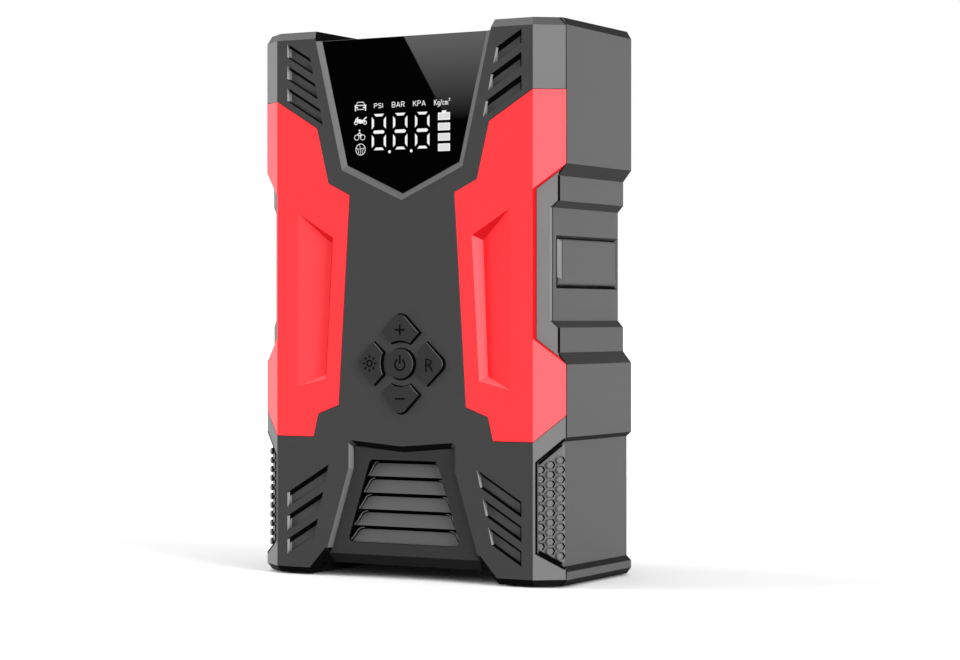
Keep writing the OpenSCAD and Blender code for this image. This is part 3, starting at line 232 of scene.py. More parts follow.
# Their left ends, which catch the light.
VENT_END = Finish("textured_abs_vent_end", "#8c8c8c", 0.5, grain_mm=0.35, depth_mm=0.006, specular=0.15)
# The same bevel where it faces the light: nearly as pale as the corners.
BEVEL_LIT = Finish("textured_abs_bevel_lit", "#606060", 0.45, grain_mm=0.35, depth_mm=0.006, specular=0.2)
# Grey ABS on flanks that are turned from the light: reads a shade darker than the front.
RIM = Finish("textured_abs_rim", "#222222", 0.6, grain_mm=0.35, depth_mm=0.008, specular=0.1, edge_mm=0.15)
# Painted shade: the darkest bevels, facing down over the feet and turned from the lamps on the rims and lower flanks.
DARK = Finish("textured_abs_dark", "#0c0c0c", 0.6, grain_mm=0.35, depth_mm=0.008, specular=0.08, edge_mm=0.15)
# Near black: painted shade on mould shut-offs, grooves, slots, recess walls and the sides of raised parts, where almost
# no light comes back out of them; also the dark joint between the shells.
SHADOW = Finish("painted_shade_black", "#050505", 0.8, grain_mm=0.5, depth_mm=0.008, specular=0.03)
# Satin ABS in signal red: an even strong colour with a soft sheen.
RED = Finish("satin_abs_red", "#f63035", 0.42, grain_mm=0.5, depth_mm=0.005, specular=0.15, mottle=0.02, edge_mm=0.2)
# Painted sheen: the same red painted paler, towards pink, on slanted corners and on the hollows' walls turned to the
# light.
RED_PALE = Finish("satin_abs_red_pale", "#f7555a", 0.4, grain_mm=0.5, depth_mm=0.005, specular=0.2, mottle=0.02)
# The red floor of the left hollow, tilted towards the light, and of the right one, tilted away.
RED_LIT = Finish("satin_abs_red_lit", "#f63b40", 0.42, grain_mm=0.5, depth_mm=0.005, specular=0.15, mottle=0.02)
RED_DIM = Finish("satin_abs_red_dim", "#f62b31", 0.42, grain_mm=0.5, depth_mm=0.005, specular=0.15, mottle=0.02)
# The same red on edges that face away from the light: deeper and purer.
RED_DEEP = Finish("satin_abs_red_deep", "#b80a14", 0.5, grain_mm=0.5, depth_mm=0.005, specular=0.1, mottle=0.02)
# Hard-coated black acrylic: a mirror-like pane with no grain of its own.
LENS = Finish("hard_coated_black_acrylic", "#020202", 0.01, grain_mm=9, depth_mm=0.0005, ior=1.49, mottle=0.0)
# Soft-touch keys in moulded silicone: a touch darker and drier than the casing round them.
KEYCAP = Finish("soft_touch_silicone", "#262626", 0.6, Pattern.FLOW, 0.6, 0.008, specular=0.12, edge_mm=0.12)
# Painted highlight on the keys: a thin paler line along their bevels that face right and up.
KEY_HIGHLIGHT = Finish("soft_touch_silicone_highlight", "#585858", 0.5, Pattern.FLOW, 0.6, 0.008, specular=0.2)
# Recessed ink of the keys' signs: black against the dark key.
INK = Finish("pad_printed_black", "#020202", 0.6, grain_mm=0.3, depth_mm=0.003, specular=0.05)
# Thermoplastic rubber of the corner grips: even mid grey with a dry sheen.
GRIP = Finish("overmoulded_tpr_grey", "#636363", 0.6, Pattern.FLOW, 0.5, 0.01, specular=0.2)
# Louvre in grey satin ABS: its slats catch the light on their upper edges.
LOUVRE = Finish("satin_abs_louvre", "#4e4e4e", 0.45, grain_mm=0.4, depth_mm=0.006, specular=0.15, edge_mm=0.1)
# Port covers in the rubber of the grips, one shade darker.
COVER = Finish("moulded_tpr_cover", "#494949", 0.55, Pattern.FLOW, 0.5, 0.01, specular=0.2, edge_mm=0.2)
# Painted highlight: the long bevel at the front of each cover, painted paler where it faces the light.
COVER_HIGHLIGHT = Finish("moulded_tpr_cover_highlight", "#6c6c6c", 0.45, Pattern.FLOW, 0.5, 0.006, specular=0.25)
# Black vulcanised rubber: feet, seals and hose.
RUBBER = Finish("black_rubber", "#1a1a1a", 0.7, Pattern.FLOW, 0.8, 0.02, specular=0.2)
# Zinc-plated steel screws: bright, with a slight haze.
ZINC = Finish("zinc_plated_steel", "#c6c8cb", 0.3, Pattern.TURNED, 0.3, 0.004, metallic=1.0)
# Ground steel shafts and pins: fine lines along their length.
STEEL = Finish("ground_steel", "#cfd0d3", 0.25, Pattern.BRUSHED, 0.2, 0.004, metallic=1.0)
# Green solder mask over copper: glossy with a cloudy green.
MASK = Finish("green_solder_mask", "#1c6b3a", 0.3, grain_mm=2.5, depth_mm=0.02, coat=0.4, mottle=0.2)
# Epoxy-moulded parts on the boards: matt black.
EPOXY = Finish("moulded_epoxy_black", "#1c1c1c", 0.5, grain_mm=0.3, depth_mm=0.01, specular=0.3)
# Display glass on its black frame.
GLASS = Finish("display_glass_black", "#0e0f12", 0.1, grain_mm=5, depth_mm=0.003)
# Blue shrink film pulled over flat cells: glossy with soft folds.
FILM = Finish("pvc_shrink_film_blue", "#3a6da8", 0.28, Pattern.FLOW, 9, 0.12, coat=0.3)
# Glass-filled nylon of inner frames: matt and slightly fibrous.
INNER = Finish("glass_filled_nylon_black", "#242424", 0.6, grain_mm=0.4, depth_mm=0.02, specular=0.3)
# Blue nylon of the jump lead socket.
SOCKET = Finish("moulded_nylon_blue", "#1d4090", 0.4, grain_mm=0.5, depth_mm=0.01)
# Gold-plated contacts: warm and bright.
GOLD = Finish("gold_plated_copper", "#dba63b", 0.25, Pattern.BRUSHED, 0.3, 0.004, metallic=1.0)
# Nickel-plated sheet of the USB shells.
NICKEL = Finish("nickel_plated_sheet", "#c4c6ca", 0.22, Pattern.BRUSHED, 0.3, 0.004, metallic=1.0)
# Clear polycarbonate over the lamp, with moulded rings.
CLEAR = Finish("clear_polycarbonate", "#f2f5f7", 0.05, Pattern.FRESNEL, 0.8, 0.05, ior=1.585, transmission=0.9,
               mottle=0.0)
# Vacuum-metallised reflector: near a mirror.
MIRROR = Finish("vacuum_metallised_abs", "#e6e8ea", 0.08, grain_mm=3, depth_mm=0.004, metallic=1.0, mottle=0.02)
# Turned brass of the outlet and the bush.
BRASS = Finish("turned_brass", "#c9a34a", 0.25, Pattern.TURNED, 0.3, 0.006, metallic=1.0)
# Die-cast aluminium: pale and slightly rough.
CAST = Finish("die_cast_aluminium", "#a9adb1", 0.42, grain_mm=0.6, depth_mm=0.03, metallic=1.0)
# Zinc-plated deep-drawn motor can.
CAN = Finish("deep_drawn_zinc_can", "#9aa0a5", 0.35, Pattern.BRUSHED, 0.3, 0.006, metallic=1.0)
# Natural nylon gear and rod: waxy and warm white.
NYLON = Finish("natural_nylon", "#e8e3d8", 0.4, grain_mm=0.6, depth_mm=0.01, specular=0.4)
# Glowing segments of the display.
LIT = LitSign("lit_display_segment", "#f6f6f6", 1.0)
LIT_DIM = LitSign("lit_display_block", "#dedede", 1.0)


# ---------------------------------------------------------------- mesh tools

def new_piece(name: str, data: bpy.types.ID) -> bpy.types.Object:
    """Puts a mesh, curve, lamp or camera in the scene as an object at the origin.

    Args:
        name: The object's name.
        data: What it shows, in metres in the pack's own frame.

    Returns:
        The new object.
    """
    piece = bpy.data.objects.new(name, data)
    bpy.context.scene.collection.objects.link(piece)
    return piece


def to_piece(name: str, shape: bmesh.types.BMesh, *materials: bpy.types.Material) -> bpy.types.Object:
    """Turns a shape into a piece.

    Args:
        name: The piece's name.
        shape: Its shape in metres, which is freed.
        *materials: Its materials, in the order of the faces' indices.

    Returns:
        The new piece.
    """
    mesh = bpy.data.meshes.new(name)
    shape.to_mesh(mesh)
    shape.free()
    for material in materials:
        mesh.materials.append(material)
    return new_piece(name, mesh)


def settle(piece: bpy.types.Object, body: str) -> bpy.types.Object:
    """Seats a piece on a CAD body and reports it."""
    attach(piece, body)
    log.info("%s: %d faces", piece.name, len(piece.data.polygons))
    return piece


def merged(mesh: bpy.types.Mesh) -> bmesh.types.BMesh:
    """A shape made of a CAD mesh's loose triangles, without the edges inside its flat faces."""
    shape = bmesh.new()
    shape.from_mesh(mesh)
    bmesh.ops.remove_doubles(shape, verts=shape.verts, dist=1e-6)
    bmesh.ops.dissolve_limit(shape, angle_limit=math.radians(FLAT), verts=shape.verts, edges=shape.edges)
    return shape


def close(shape: bmesh.types.BMesh, front: list[bmesh.types.BMVert], back: list[bmesh.types.BMVert]) -> None:
    """Fills two equal rings of corners and the sides between them."""
    shape.faces.new(front)
    shape.faces.new(back[::-1])
    for i in range(len(front)):
        j = (i + 1) % len(front)
        shape.faces.new((front[i], back[i], back[j], front[j]))
    shape.normal_update()


def bake(piece: bpy.types.Object) -> bpy.types.Object:
    """Replaces an object's mesh and modifiers with what they make."""
    bpy.context.view_layer.update()
    made = piece.evaluated_get(bpy.context.evaluated_depsgraph_get())
    mesh = bpy.data.meshes.new_from_object(made)
    piece.modifiers.clear()
    piece.data = mesh
    return piece


def smooth(mesh: bpy.types.Mesh, angle: float = 24.0) -> None:
    """Shades a mesh smooth, apart from edges sharper than the angle in degrees."""
    mesh.shade_smooth()
    mesh.set_sharp_from_angle(angle=math.radians(angle))


def soften(shape: bmesh.types.BMesh, width: float, least_angle: float = 20.0) -> None:
    """Bevels the edges of a shape that have room for it.

    Args:
        shape: The shape, changed in place.
        width: The bevel's width in metres.
        least_angle: Edges flatter than this, in degrees, stay as they are.
    """
    crowded = {v for e in shape.edges if e.calc_length() < 2.6 * width for v in e.verts}
    sharp = [e for e in shape.edges if len(e.link_faces) == 2 and not crowded.intersection(e.verts)
             and e.calc_face_angle(0.0) > math.radians(least_angle)]
    bmesh.ops.bevel(shape, geom=sharp, offset=width, offset_type="OFFSET", segments=2, profile=0.5,
                    affect="EDGES", clamp_overlap=False, material=-1)


Painter = Callable[[Vector, Vector], Finish]


def open_seam(shape: bmesh.types.BMesh, y_mm: float, width: float, slot: int) -> None:
    """Bevels the outer edge of a parting plane, so that a dark groove shows where two shells meet.

    Args:
        shape: The shape, changed in place.
        y_mm: Where the parting plane lies.
        width: The bevel's width in metres.
        slot: The material slot of the bevel.
    """
    edges = []
    for edge in shape.edges:
        ends = [v.co for v in edge.verts]
        if any(abs(c.y / MM - y_mm) > 0.01 or abs(c.x) < 0.05 for c in ends) or edge.calc_length() < 3 * width:
            continue
        outward = [f for f in edge.link_faces if abs(f.normal.y) < 0.95 and f.normal.x * ends[0].x > 0]
        if outward and len(edge.link_faces) == 2:
            edges.append(edge)
    bmesh.ops.bevel(shape, geom=edges, offset=width, offset_type="OFFSET", segments=1, profile=0.5,
                    affect="EDGES", clamp_overlap=True, material=slot)


def machined(node: str, finish: Finish, body: str, bevel_mm: float = 0.0, paint: Painter | None = None,
             seam_mm: float = 0.0) -> bpy.types.Object:
    """Makes the visible piece of a CAD node: a merged copy with softened edges and painted faces.

    Args:
        node: The CAD node's name.
        finish: The finish of faces that aren't painted.
        body: The CAD body that the piece rides on.
        bevel_mm: Width of the softened edges.
        paint: Gives the finish of a face from its middle, in mm, and its normal.
        seam_mm: Width of the groove's half at the shells' parting plane.

    Returns:
        The new piece, which replaces the node.
    """
    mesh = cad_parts[node].data.copy()
    mesh.name = f"{node}_look"
    mesh.materials.clear()
    shape = merged(mesh)
    if bevel_mm:
        soften(shape, bevel_mm * MM)
    finishes = [finish, SHADOW]
    for face in shape.faces:
        chosen = paint(face.calc_center_median() / MM, face.normal) if paint else finish
        if chosen not in finishes:
            finishes.append(chosen)
        face.material_index = finishes.index(chosen)
    if seam_mm:
        open_seam(shape, SEAM_Y, seam_mm * MM, 1)
    shape.to_mesh(mesh)
    shape.free()
    for chosen in finishes:
        mesh.materials.append(chosen.material())
    smooth(mesh)
    piece = new_piece(f"{node}_look", mesh)
    weights = piece.modifiers.new("weights", "WEIGHTED_NORMAL")
    weights.keep_sharp = True
    bake(piece)
    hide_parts(node)
    return settle(piece, body)


def facing(origin: Point, out: Point) -> Matrix:
    """A placement that turns flat outlines to face a level direction.

    Args:
        origin: Where (0, 0) of the outlines comes to lie, as (x, y) in mm.
        out: The direction that they face, as (x, y) of length 1.

    Returns:
        The placement in metres.
    """
    back, up = Vector((-out[0], -out[1], 0)), Vector((0, 0, 1))
    place = Matrix((back.cross(up), back, up)).transposed().to_4x4()
    place.translation = Vector((*origin, 0)) * MM
    return place


def plates(name: str, outlines: Iterable[Outline], y_mm: float, thick_mm: float, finish: Finish | LitSign,
           body: str, place: Matrix | None = None) -> bpy.types.Object:
    """Makes flat closed plates that lie on a surface facing the front, or as placed.

    Args:
        name: The piece's name.
        outlines: Outlines as (x, z) in mm, each anticlockwise seen from the front.
        y_mm: The surface that they lie on.
        thick_mm: How far they stand out of it.
        finish: Their finish.
        body: The CAD body that they ride on.
        place: Where the plates go, if not straight to the front.

    Returns:
        The new piece.
    """
    shape = bmesh.new()
    for outline in outlines:
        back = [shape.verts.new((x * MM, y_mm * MM, z * MM)) for x, z in outline]
        front = [shape.verts.new((x * MM, (y_mm - thick_mm) * MM, z * MM)) for x, z in outline]
        close(shape, front, back)
    bmesh.ops.triangulate(shape, faces=shape.faces)
    bmesh.ops.recalc_face_normals(shape, faces=shape.faces)
    if place:
        bmesh.ops.transform(shape, matrix=place, verts=shape.verts)
    return settle(to_piece(name, shape, finish.material()), body)


def arc(centre: Point, radius: float, start: float, end: float, steps: int = 16) -> list[Point]:
    """Points along an arc, with its angles in degrees."""
    angles = [math.radians(start + (end - start) * i / steps) for i in range(steps + 1)]
    return [(centre[0] + radius * math.cos(a), centre[1] + radius * math.sin(a)) for a in angles]


def stroke(points: Outline, width: float) -> list[Point]:
    """The outline of a line of even width through the points.

    Args:
        points: The line's points in mm.
        width: The line's width in mm.

    Returns:
        The outline.
    """
    half = width / 2
    left, right = [], []
    for i, (x, z) in enumerate(points):
        before, after = points[max(i - 1, 0)], points[min(i + 1, len(points) - 1)]
        dx, dz = after[0] - before[0], after[1] - before[1]
        size = math.hypot(dx, dz) or 1.0
        left.append((x - dz / size * half, z + dx / size * half))
        right.append((x + dz / size * half, z - dx / size * half))
    return right + left[::-1]


def ring(centre: Point, radius: float, width: float) -> list[list[Point]]:
    """Two half rings of even width round a centre."""
    return [stroke(arc(centre, radius, a, a + 180, 14), width) for a in (0, 180)]


def lettering(text: str, low: Point, high: Point) -> bpy.types.Mesh:
    """Sets a word in a plain typeface so that it fills a rectangle.

    Args:
        text: The word.
        low: Its lower left corner as (x, z) in mm.
        high: Its upper right corner.

    Returns:
        A flat closed mesh in metres whose back lies on y = 0.
    """
    curve = bpy.data.curves.new(text, "FONT")
    curve.body = text
    curve.extrude = 0.01
    curve.resolution_u = 4
    holder = new_piece(text, curve)
    bpy.context.view_layer.update()
    mesh = bpy.data.meshes.new_from_object(holder.evaluated_get(bpy.context.evaluated_depsgraph_get()))
    bpy.data.objects.remove(holder)
    xs, ys = [v.co.x for v in mesh.vertices], [v.co.y for v in mesh.vertices]
    scale_x = (high[0] - low[0]) / (max(xs) - min(xs))
    scale_z = (high[1] - low[1]) / (max(ys) - min(ys))
    for v in mesh.vertices:
        x = low[0] + (v.co.x - min(xs)) * scale_x
        z = low[1] + (v.co.y - min(ys)) * scale_z
        v.co = (x * MM, -SKIN * MM if v.co.z > 0 else 0.0, z * MM)
    return mesh


def join_meshes(name: str, parts: Sequence[bpy.types.Mesh], move: Vector, finish: Finish | LitSign,
                body: str) -> bpy.types.Object:
    """Joins meshes into one piece that rides on a body.

    Args:
        name: The piece's name.
        parts: Meshes in metres.
        move: How far all of them move, in metres.
        finish: Their finish.
        body: The CAD body that they ride on.

    Returns:
        The new piece.
    """
    shape = bmesh.new()
    for part in parts:
        shape.from_mesh(part)
    bmesh.ops.remove_doubles(shape, verts=shape.verts, dist=1e-7)
    bmesh.ops.recalc_face_normals(shape, faces=shape.faces)
    bmesh.ops.translate(shape, vec=move, verts=shape.verts)
    for face in shape.faces:
        face.material_index = 0
    return settle(to_piece(name, shape, finish.material()), body)


# ---------------------------------------------------------------- sub-assemblies

@dataclass
class Casing:
    """The two shells with their red panels, feet and screws."""

    y_front: float = -29.0
    height: float = 182.0
    outward: Point = (0.609, -0.793)
    vent_x: tuple[float, float] = (28.2, 46.0)
    vent_z: tuple[float, float] = (38.5, 150.0)
    vent_floor: float = 1.6
    vent_depth: float = 1.5
    vent_outer: float = 44.8
    vent_slope: float = 0.6
    grip_z: tuple[float, float] = (6.0, 46.3)
    waist_z: tuple[float, float] = (71.0, 136.0)
    key_zone: tuple[float, float] = (18.5, 19.5)
    panel: Point = (31.0, 46.6)
    panel_depth: float = 1.4
    lens: Point = (36.0, 120.0)
    lens_depth: float = 1.1
    well: float = 5.9
    well_front: float = 1.2
    rim: float = 3.0
    hollow_x: tuple[float, float] = (26.0, 40.4)
    foot_z: float = 11.0
    skirt_z: float = 50.0
    waist_x: float = 47.0
    grip_x: float = 47.5
    side_x: float = 49.5
    panel_shade_z: float = 36.0
    cover_bevel_x: tuple[float, float] = (51.9, 52.4)
    cover_z: tuple[float, float] = (95.0, 113.0)
    notch_x: tuple[float, float] = (52.9, 54.0)
    notch_y: float = -20.9
    seam: float = 0.36

    def in_well(self, middle: Vector, normal: Vector) -> bool:
        """Tells whether a face is an inner flank of the well in the top."""
        return middle.z > self.height - self.well and normal.x * middle.x < 0 and abs(normal.x) > 0.8

    def bevel_paint(self, middle: Vector, normal: Vector) -> Finish | None:
        """Chooses the finish of an upper rim, a flank of the sides or a bevel near the base, painting light and shade
        by which way the face turns.
        """
        # painted shade on bevels that face down over the feet
        if normal.z < -0.25 and middle.z < self.foot_z:
            return DARK
        # upper rims: the bevel's painted light where they face forward, painted shade where they face the sides
        if normal.z > 0.3 and middle.z > self.height - self.rim and abs(normal.z) < 0.95:
            if abs(normal.x) < 0.3:
                return BEVEL
            return SIDE if normal.y < -0.3 else DARK
        # painted shade on the flanks of the sides' steps, darkest low down
        if abs(normal.z) > 0.3 and abs(middle.x) > self.side_x and middle.z < self.height - self.rim:
            return DARK if middle.z < self.skirt_z else RIM
        return None

    def front_paint(self, middle: Vector, normal: Vector) -> Finish:
        """Chooses the finish of a face of the front shell."""
        depth = middle.y - self.y_front
        side = abs(middle.x)
        sunk = -((side - CORNER[0]) * self.outward[0] + (middle.y - CORNER[1]) * self.outward[1])
        in_vents = self.vent_x[0] < side < self.vent_x[1] and not self.vent_z[0] < middle.z < self.vent_z[1]
        in_waist = self.waist_z[0] < middle.z < self.waist_z[1]
        in_panel = middle.z < self.panel[1]
        round_lens = side < self.lens[0] and middle.z > self.lens[1] and depth < self.lens_depth
        # painted shade on the well's inner flanks
        if self.in_well(middle, normal) and depth > self.well_front:
            return SHADOW
        # painted light on the lens bevel, paler where it faces right
        if round_lens and -0.96 < normal.y < -0.7:
            return BEVEL_LIT if normal.x > 0.3 else BEVEL
        # painted shade in the grip's pocket
        if side > self.grip_x and self.grip_z[0] < middle.z < self.grip_z[1] and sunk > 0.1 and abs(normal.x) < 0.99:
            return SHADOW
        bevel = self.bevel_paint(middle, normal)
        if bevel and not (in_vents and middle.z < self.height - self.rim):
            return bevel
        if normal.y < -0.97:
            if depth < 0.1:
                return FASCIA
            if in_vents and depth < self.vent_floor:
                return VENT
            # the waist's relief painted paler, as painted light
            if in_waist and side > self.waist_x:
                return GREY
            # painted shade: the sunk panel's floor a shade deeper, deeper floors near black
            return SUNK if depth < self.panel_depth and in_panel else SHADOW
        # painted shade on the walls of the keys' holes
        if side < self.key_zone[0] and abs(middle.z - KEYS_Z) < self.key_zone[1]:
            return SHADOW
        # the vents' walls: painted highlight on the left ends, painted shade on the rest
        if in_vents and depth < 6:
            return VENT_END if normal.x > 0.8 and depth < self.vent_floor else SHADOW
        # the sunk panel's walls: painted shade on those facing down and deep ones, a painted highlight on the left
        # wall, paler at its upper part, painted shade on the rest
        if in_panel and side < self.panel[0]:
            if normal.z < -0.5 or depth > self.panel_depth:
                return SHADOW
            if normal.x > 0.5:
                return GREY if middle.z > self.panel_shade_z else BEVEL
            return SUNK
        # the rest of the lens bevel in the bevel's painted tone
        if round_lens:
            return BEVEL
        # painted light: faces turned forward and the waist painted paler than the sides
        return GREY if in_waist or normal.y < -0.5 else SIDE

    def vents(self) -> dict[Finish, list[Outline]]:
        """Painted shade lines and painted highlights at the left ends, on the floors of the vents, as outlines in mm by
        finish.
        """
        shade_lines, ends = [], []
        # per vent: inner end, height at the outer end, height, lean, slant of the inner end, taper
        rows = [(35.6 - 1.92 * i, self.height - 3.7 - 7.35 * i, 4.6, -1, -1.1, 0.65) for i in range(3)]
        rows += [(28.4 + 2.1 * i, 27.4 - 7.85 * i, 5.0, 1, 1.3, 0.8) for i in range(3)]
        for inner, z, tall, lean, foot, drop in rows:
            def top(x: float) -> float:
                """Height of the vent's upper edge."""
                return z + lean * self.vent_slope * (self.vent_outer - x)

            def low(x: float) -> float:
                """Height of the vent's lower edge."""
                share = (self.vent_outer - x) / (self.vent_outer - inner - foot)
                return z - tall + share * (lean * self.vent_slope * (self.vent_outer - inner) - drop)

            def strip(x0: float, x1: float, *ends: tuple[Callable[[float], float], float]) -> list[Point]:
                """Four corners anticlockwise from the upper left, each by the edge that it hangs from."""
                return [(x, edge(abs(x)) + rise) for x, (edge, rise) in zip((x0, x0, x1, x1), ends)]

            a, b = inner + 0.1, self.vent_outer - 0.05
            c = a + foot
            for s in (-1, 1):
                # the view from the right hides 0.85 mm of each floor's right end
                right, left = (b, min(a, c)) if s > 0 else (-min(a, c), -b)
                # painted highlight on each floor's left end
                ends.append([(left + 0.02, top(abs(left)) - 0.6), (left + 0.02, low(abs(left)) + 0.1),
                             *strip(left + 0.75, left + 0.75, (low, 0.1), (top, -1.3))])
                # painted shade: a band under the upper edge, a line over the lower edge and a band at the right end
                shade_lines.append(strip(left, right, (top, -0.03), (top, -1.4), (top, -1.4), (top, -0.03)))
                shade_lines.append(strip(left, right, (low, 0.2), (low, 0.03), (low, 0.03), (low, 0.2)))
                shade_lines.append(strip(right - 1.15, right, (top, -1), (low, 0.1), (low, 0.1), (top, -1)))
                # painted shade: one more line above the lower edge of the vents on the right
                if s > 0:
                    shade_lines.append(stroke([(x, low(x) + 0.35) for x in (left + 0.8, right - 1.0)], 0.22))
        return {SHADOW: shade_lines, VENT_END: ends}

    def rear_paint(self, middle: Vector, normal: Vector) -> Finish:
        """Chooses the finish of a face of the rear shell."""
        side = abs(middle.x)
        by_cover = self.cover_bevel_x[0] < side < self.cover_bevel_x[1] and self.cover_z[0] < middle.z < self.cover_z[1]
        # the bevels round each cover's recess: the one facing forward like the side, painted shade on the rest, a
        # little lighter at the top
        if by_cover and 0.6 < abs(normal.x) < 0.8:
            return SIDE if normal.y < -0.5 else RIM if middle.z > self.cover_z[1] - 1 else SHADOW
        in_notch = self.notch_x[0] < side < self.notch_x[1] and middle.y < self.notch_y
        # painted shade in the notches at the waist
        if in_notch and self.waist_z[0] < middle.z < self.waist_z[1]:
            return SHADOW
        # painted shade on the well's inner flanks
        if self.in_well(middle, normal):
            return SHADOW
        return self.bevel_paint(middle, normal) or SIDE

    def red_paint(self, middle: Vector, normal: Vector) -> Finish:
        """Chooses the finish of a face of a red panel."""
        if normal.y < -0.9 and middle.y < self.y_front + 0.05:
            return RED
        # painted sheen on the slanted corners
        if normal.y < -0.6 and abs(middle.x) > CORNER[0]:
            return RED_PALE
        hollow = self.hollow_x[0] < abs(middle.x) < self.hollow_x[1] and middle.y > self.y_front + 0.05
        # painted light on the hollows' floors: lit on the left, dim on the right
        if hollow and normal.y < -0.9:
            return RED_LIT if middle.x < 0 else RED_DIM
        # painted light on the hollows' walls turned right and up, painted shade on the other edges
        return RED_PALE if hollow and (normal.x > 0.4 or normal.z > 0.4) else RED_DEEP

    def build(self) -> None:
        """Builds the casing."""
        machined("front_shell", SIDE, "casing", paint=self.front_paint, seam_mm=self.seam)
        machined("rear_shell", SIDE, "casing", paint=self.rear_paint, seam_mm=self.seam)
        for side in ("left", "right"):
            machined(f"red_panel_{side}", RED, "casing", bevel_mm=0.1, paint=self.red_paint)
        # painted shade lines and painted highlights on the vents' floors
        for finish, outlines in self.vents().items():
            name = "vent_shade_lines" if finish is SHADOW else "vent_ends"
            plates(name, outlines, self.y_front + self.vent_depth, PAINTED_PLATE, finish, "casing")
        machined("foot_pads", RUBBER, "casing", bevel_mm=0.25)
        machined("case_screws", ZINC, "casing")


@dataclass
class DisplayWindow:
    """The black lens and everything that lights up behind it."""

    face_y: float = -28.0
    thick: float = 0.03
    digit_w: float = 5.48
    digit_low: float = 141.42
    digit_high: float = 153.36
    digit_left: tuple[float, ...] = (-11.98, -3.75, 4.67)
    bar: float = 0.86
    words: tuple = (("PSI", -11.0, -7.7, 155.35, 156.8), ("BAR", -4.1, 0.6, 155.35, 157.0),
                    ("KPA", 4.0, 8.6, 155.35, 157.05), ("Kg/cm2", 12.0, 17.9, 155.3, 157.1))
    word_line: float = 0.21
    word_space: float = 0.27
    sign_x: float = -16.39
    block_rim: float = 0.32
    battery_x: tuple[float, float] = (13.37, 17.88)
    battery_low: float = 140.32
    block_h: float = 2.43
    block_step: float = 3.37

    @staticmethod
    def letters() -> dict[str, tuple[float, list[list[Point]]]]:
        """Plain thin letters one high, as width and strokes by letter."""
        bowl = [(0, 1), (0.4, 1), (0.6, 0.86), (0.6, 0.64), (0.4, 0.5), (0, 0.5)]
        stem = [(0, 0), (0, 1)]
        small = [(0.4, 0.52), (0.22, 0.68), (0, 0.52), (0, 0.18), (0.22, 0.02), (0.4, 0.18)]
        return {
            "P": (0.6, [stem, bowl]),
            "R": (0.62, [stem, bowl, [(0.3, 0.5), (0.62, 0)]]),
            "B": (0.62, [stem, bowl, [(0.4, 0.5), (0.62, 0.36), (0.62, 0.14), (0.42, 0), (0, 0)]]),
            "S": (0.6, [[(0.6, 0.85), (0.42, 1), (0.18, 1), (0, 0.85), (0, 0.66), (0.6, 0.36), (0.6, 0.15), (0.42, 0),
                         (0.16, 0), (0, 0.15)]]),
            "I": (0.05, [stem]),
            "A": (0.7, [[(0, 0), (0.35, 1)], [(0.35, 1), (0.7, 0)], [(0.13, 0.3), (0.57, 0.3)]]),
            "K": (0.6, [stem, [(0.6, 1), (0, 0.42)], [(0.2, 0.6), (0.62, 0)]]),
            "g": (0.4, [small, [(0.4, 0.68), (0.4, -0.15), (0.2, -0.28), (0, -0.2)]]),
            "/": (0.35, [[(0, -0.1), (0.35, 1)]]),
            "c": (0.4, [small]),
            "m": (0.66, [[(0, 0), (0, 0.68)], [(0, 0.5), (0.2, 0.68), (0.33, 0.5), (0.33, 0)],
                         [(0.33, 0.5), (0.53, 0.68), (0.66, 0.5), (0.66, 0)]]),
            "2": (0.3, [[(0, 1.05), (0.15, 1.2), (0.3, 1.05), (0, 0.7), (0.3, 0.7)]])}

    def word(self, text: str, x0: float, x1: float, z0: float, z1: float) -> list[Outline]:
        """Sets a word in thin strokes between two heights so that it fills a width, in mm."""
        letters, space = self.letters(), self.word_space
        length = sum(letters[c][0] for c in text) + space * (len(text) - 1)
        scale, x, strokes = (x1 - x0) / length, x0, []
        for letter in text:
            width, lines = letters[letter]
            strokes += [stroke([(x + a * scale, z0 + b * (z1 - z0)) for a, b in line], self.word_line)
                        for line in lines]
            x += (width + space) * scale
        return strokes

    def digit(self, x: float) -> list[Outline]:
        """The seven lit bars of one digit whose left edge is at x."""
        w, t = self.digit_w, self.bar
        low, high = self.digit_low, self.digit_high
        mid = (low + high) / 2
        right = x + w
        level = [
            [(x + 0.85, high), (x + 1.6, high - t), (right - 1.5, high - t), (right - 0.75, high)],
            [(x + 1.6, low + t), (x + 0.85, low), (right - 0.75, low), (right - 1.5, low + t)],
            [(x + 0.5, mid), (x + 1.0, mid - 0.55), (right - 1.0, mid - 0.55), (right - 0.5, mid),
             (right - 1.0, mid + 0.55), (x + 1.0, mid + 0.55)]]
        upright = [
            [(x, mid + 0.95), (x + t, mid + 1.9), (x + t, high - 1.9), (x, high - 0.95)],
            [(x, low + 0.8), (x + t, low + 1.7), (x + t, mid - 1.9), (x, mid - 0.95)]]
        mirrored = [[(x + right - px, pz) for px, pz in reversed(o)] for o in upright]
        return level + upright + mirrored

    def car(self) -> list[Outline]:
        """A car seen from its front."""
        cx = self.sign_x
        roof = [(cx - 1.6, 156.6), (cx - 1.15, 157.5), (cx + 1.15, 157.5), (cx + 1.6, 156.6)]
        pieces = [stroke(roof, 0.22), stroke([(cx - 2.3, 156.45), (cx + 2.3, 156.45)], 0.28),
                  stroke([(cx - 1.3, 155.1), (cx + 1.3, 155.1)], 0.2)]
        for s in (-1, 1):
            pieces.append(stroke([(cx + s * 1.95, 156.5), (cx + s * 1.95, 154.6)][::s], 0.4))
            pieces.append(stroke([(cx + s * 1.0, 155.65), (cx + s * 1.8, 155.85)][::s], 0.4))
        return pieces

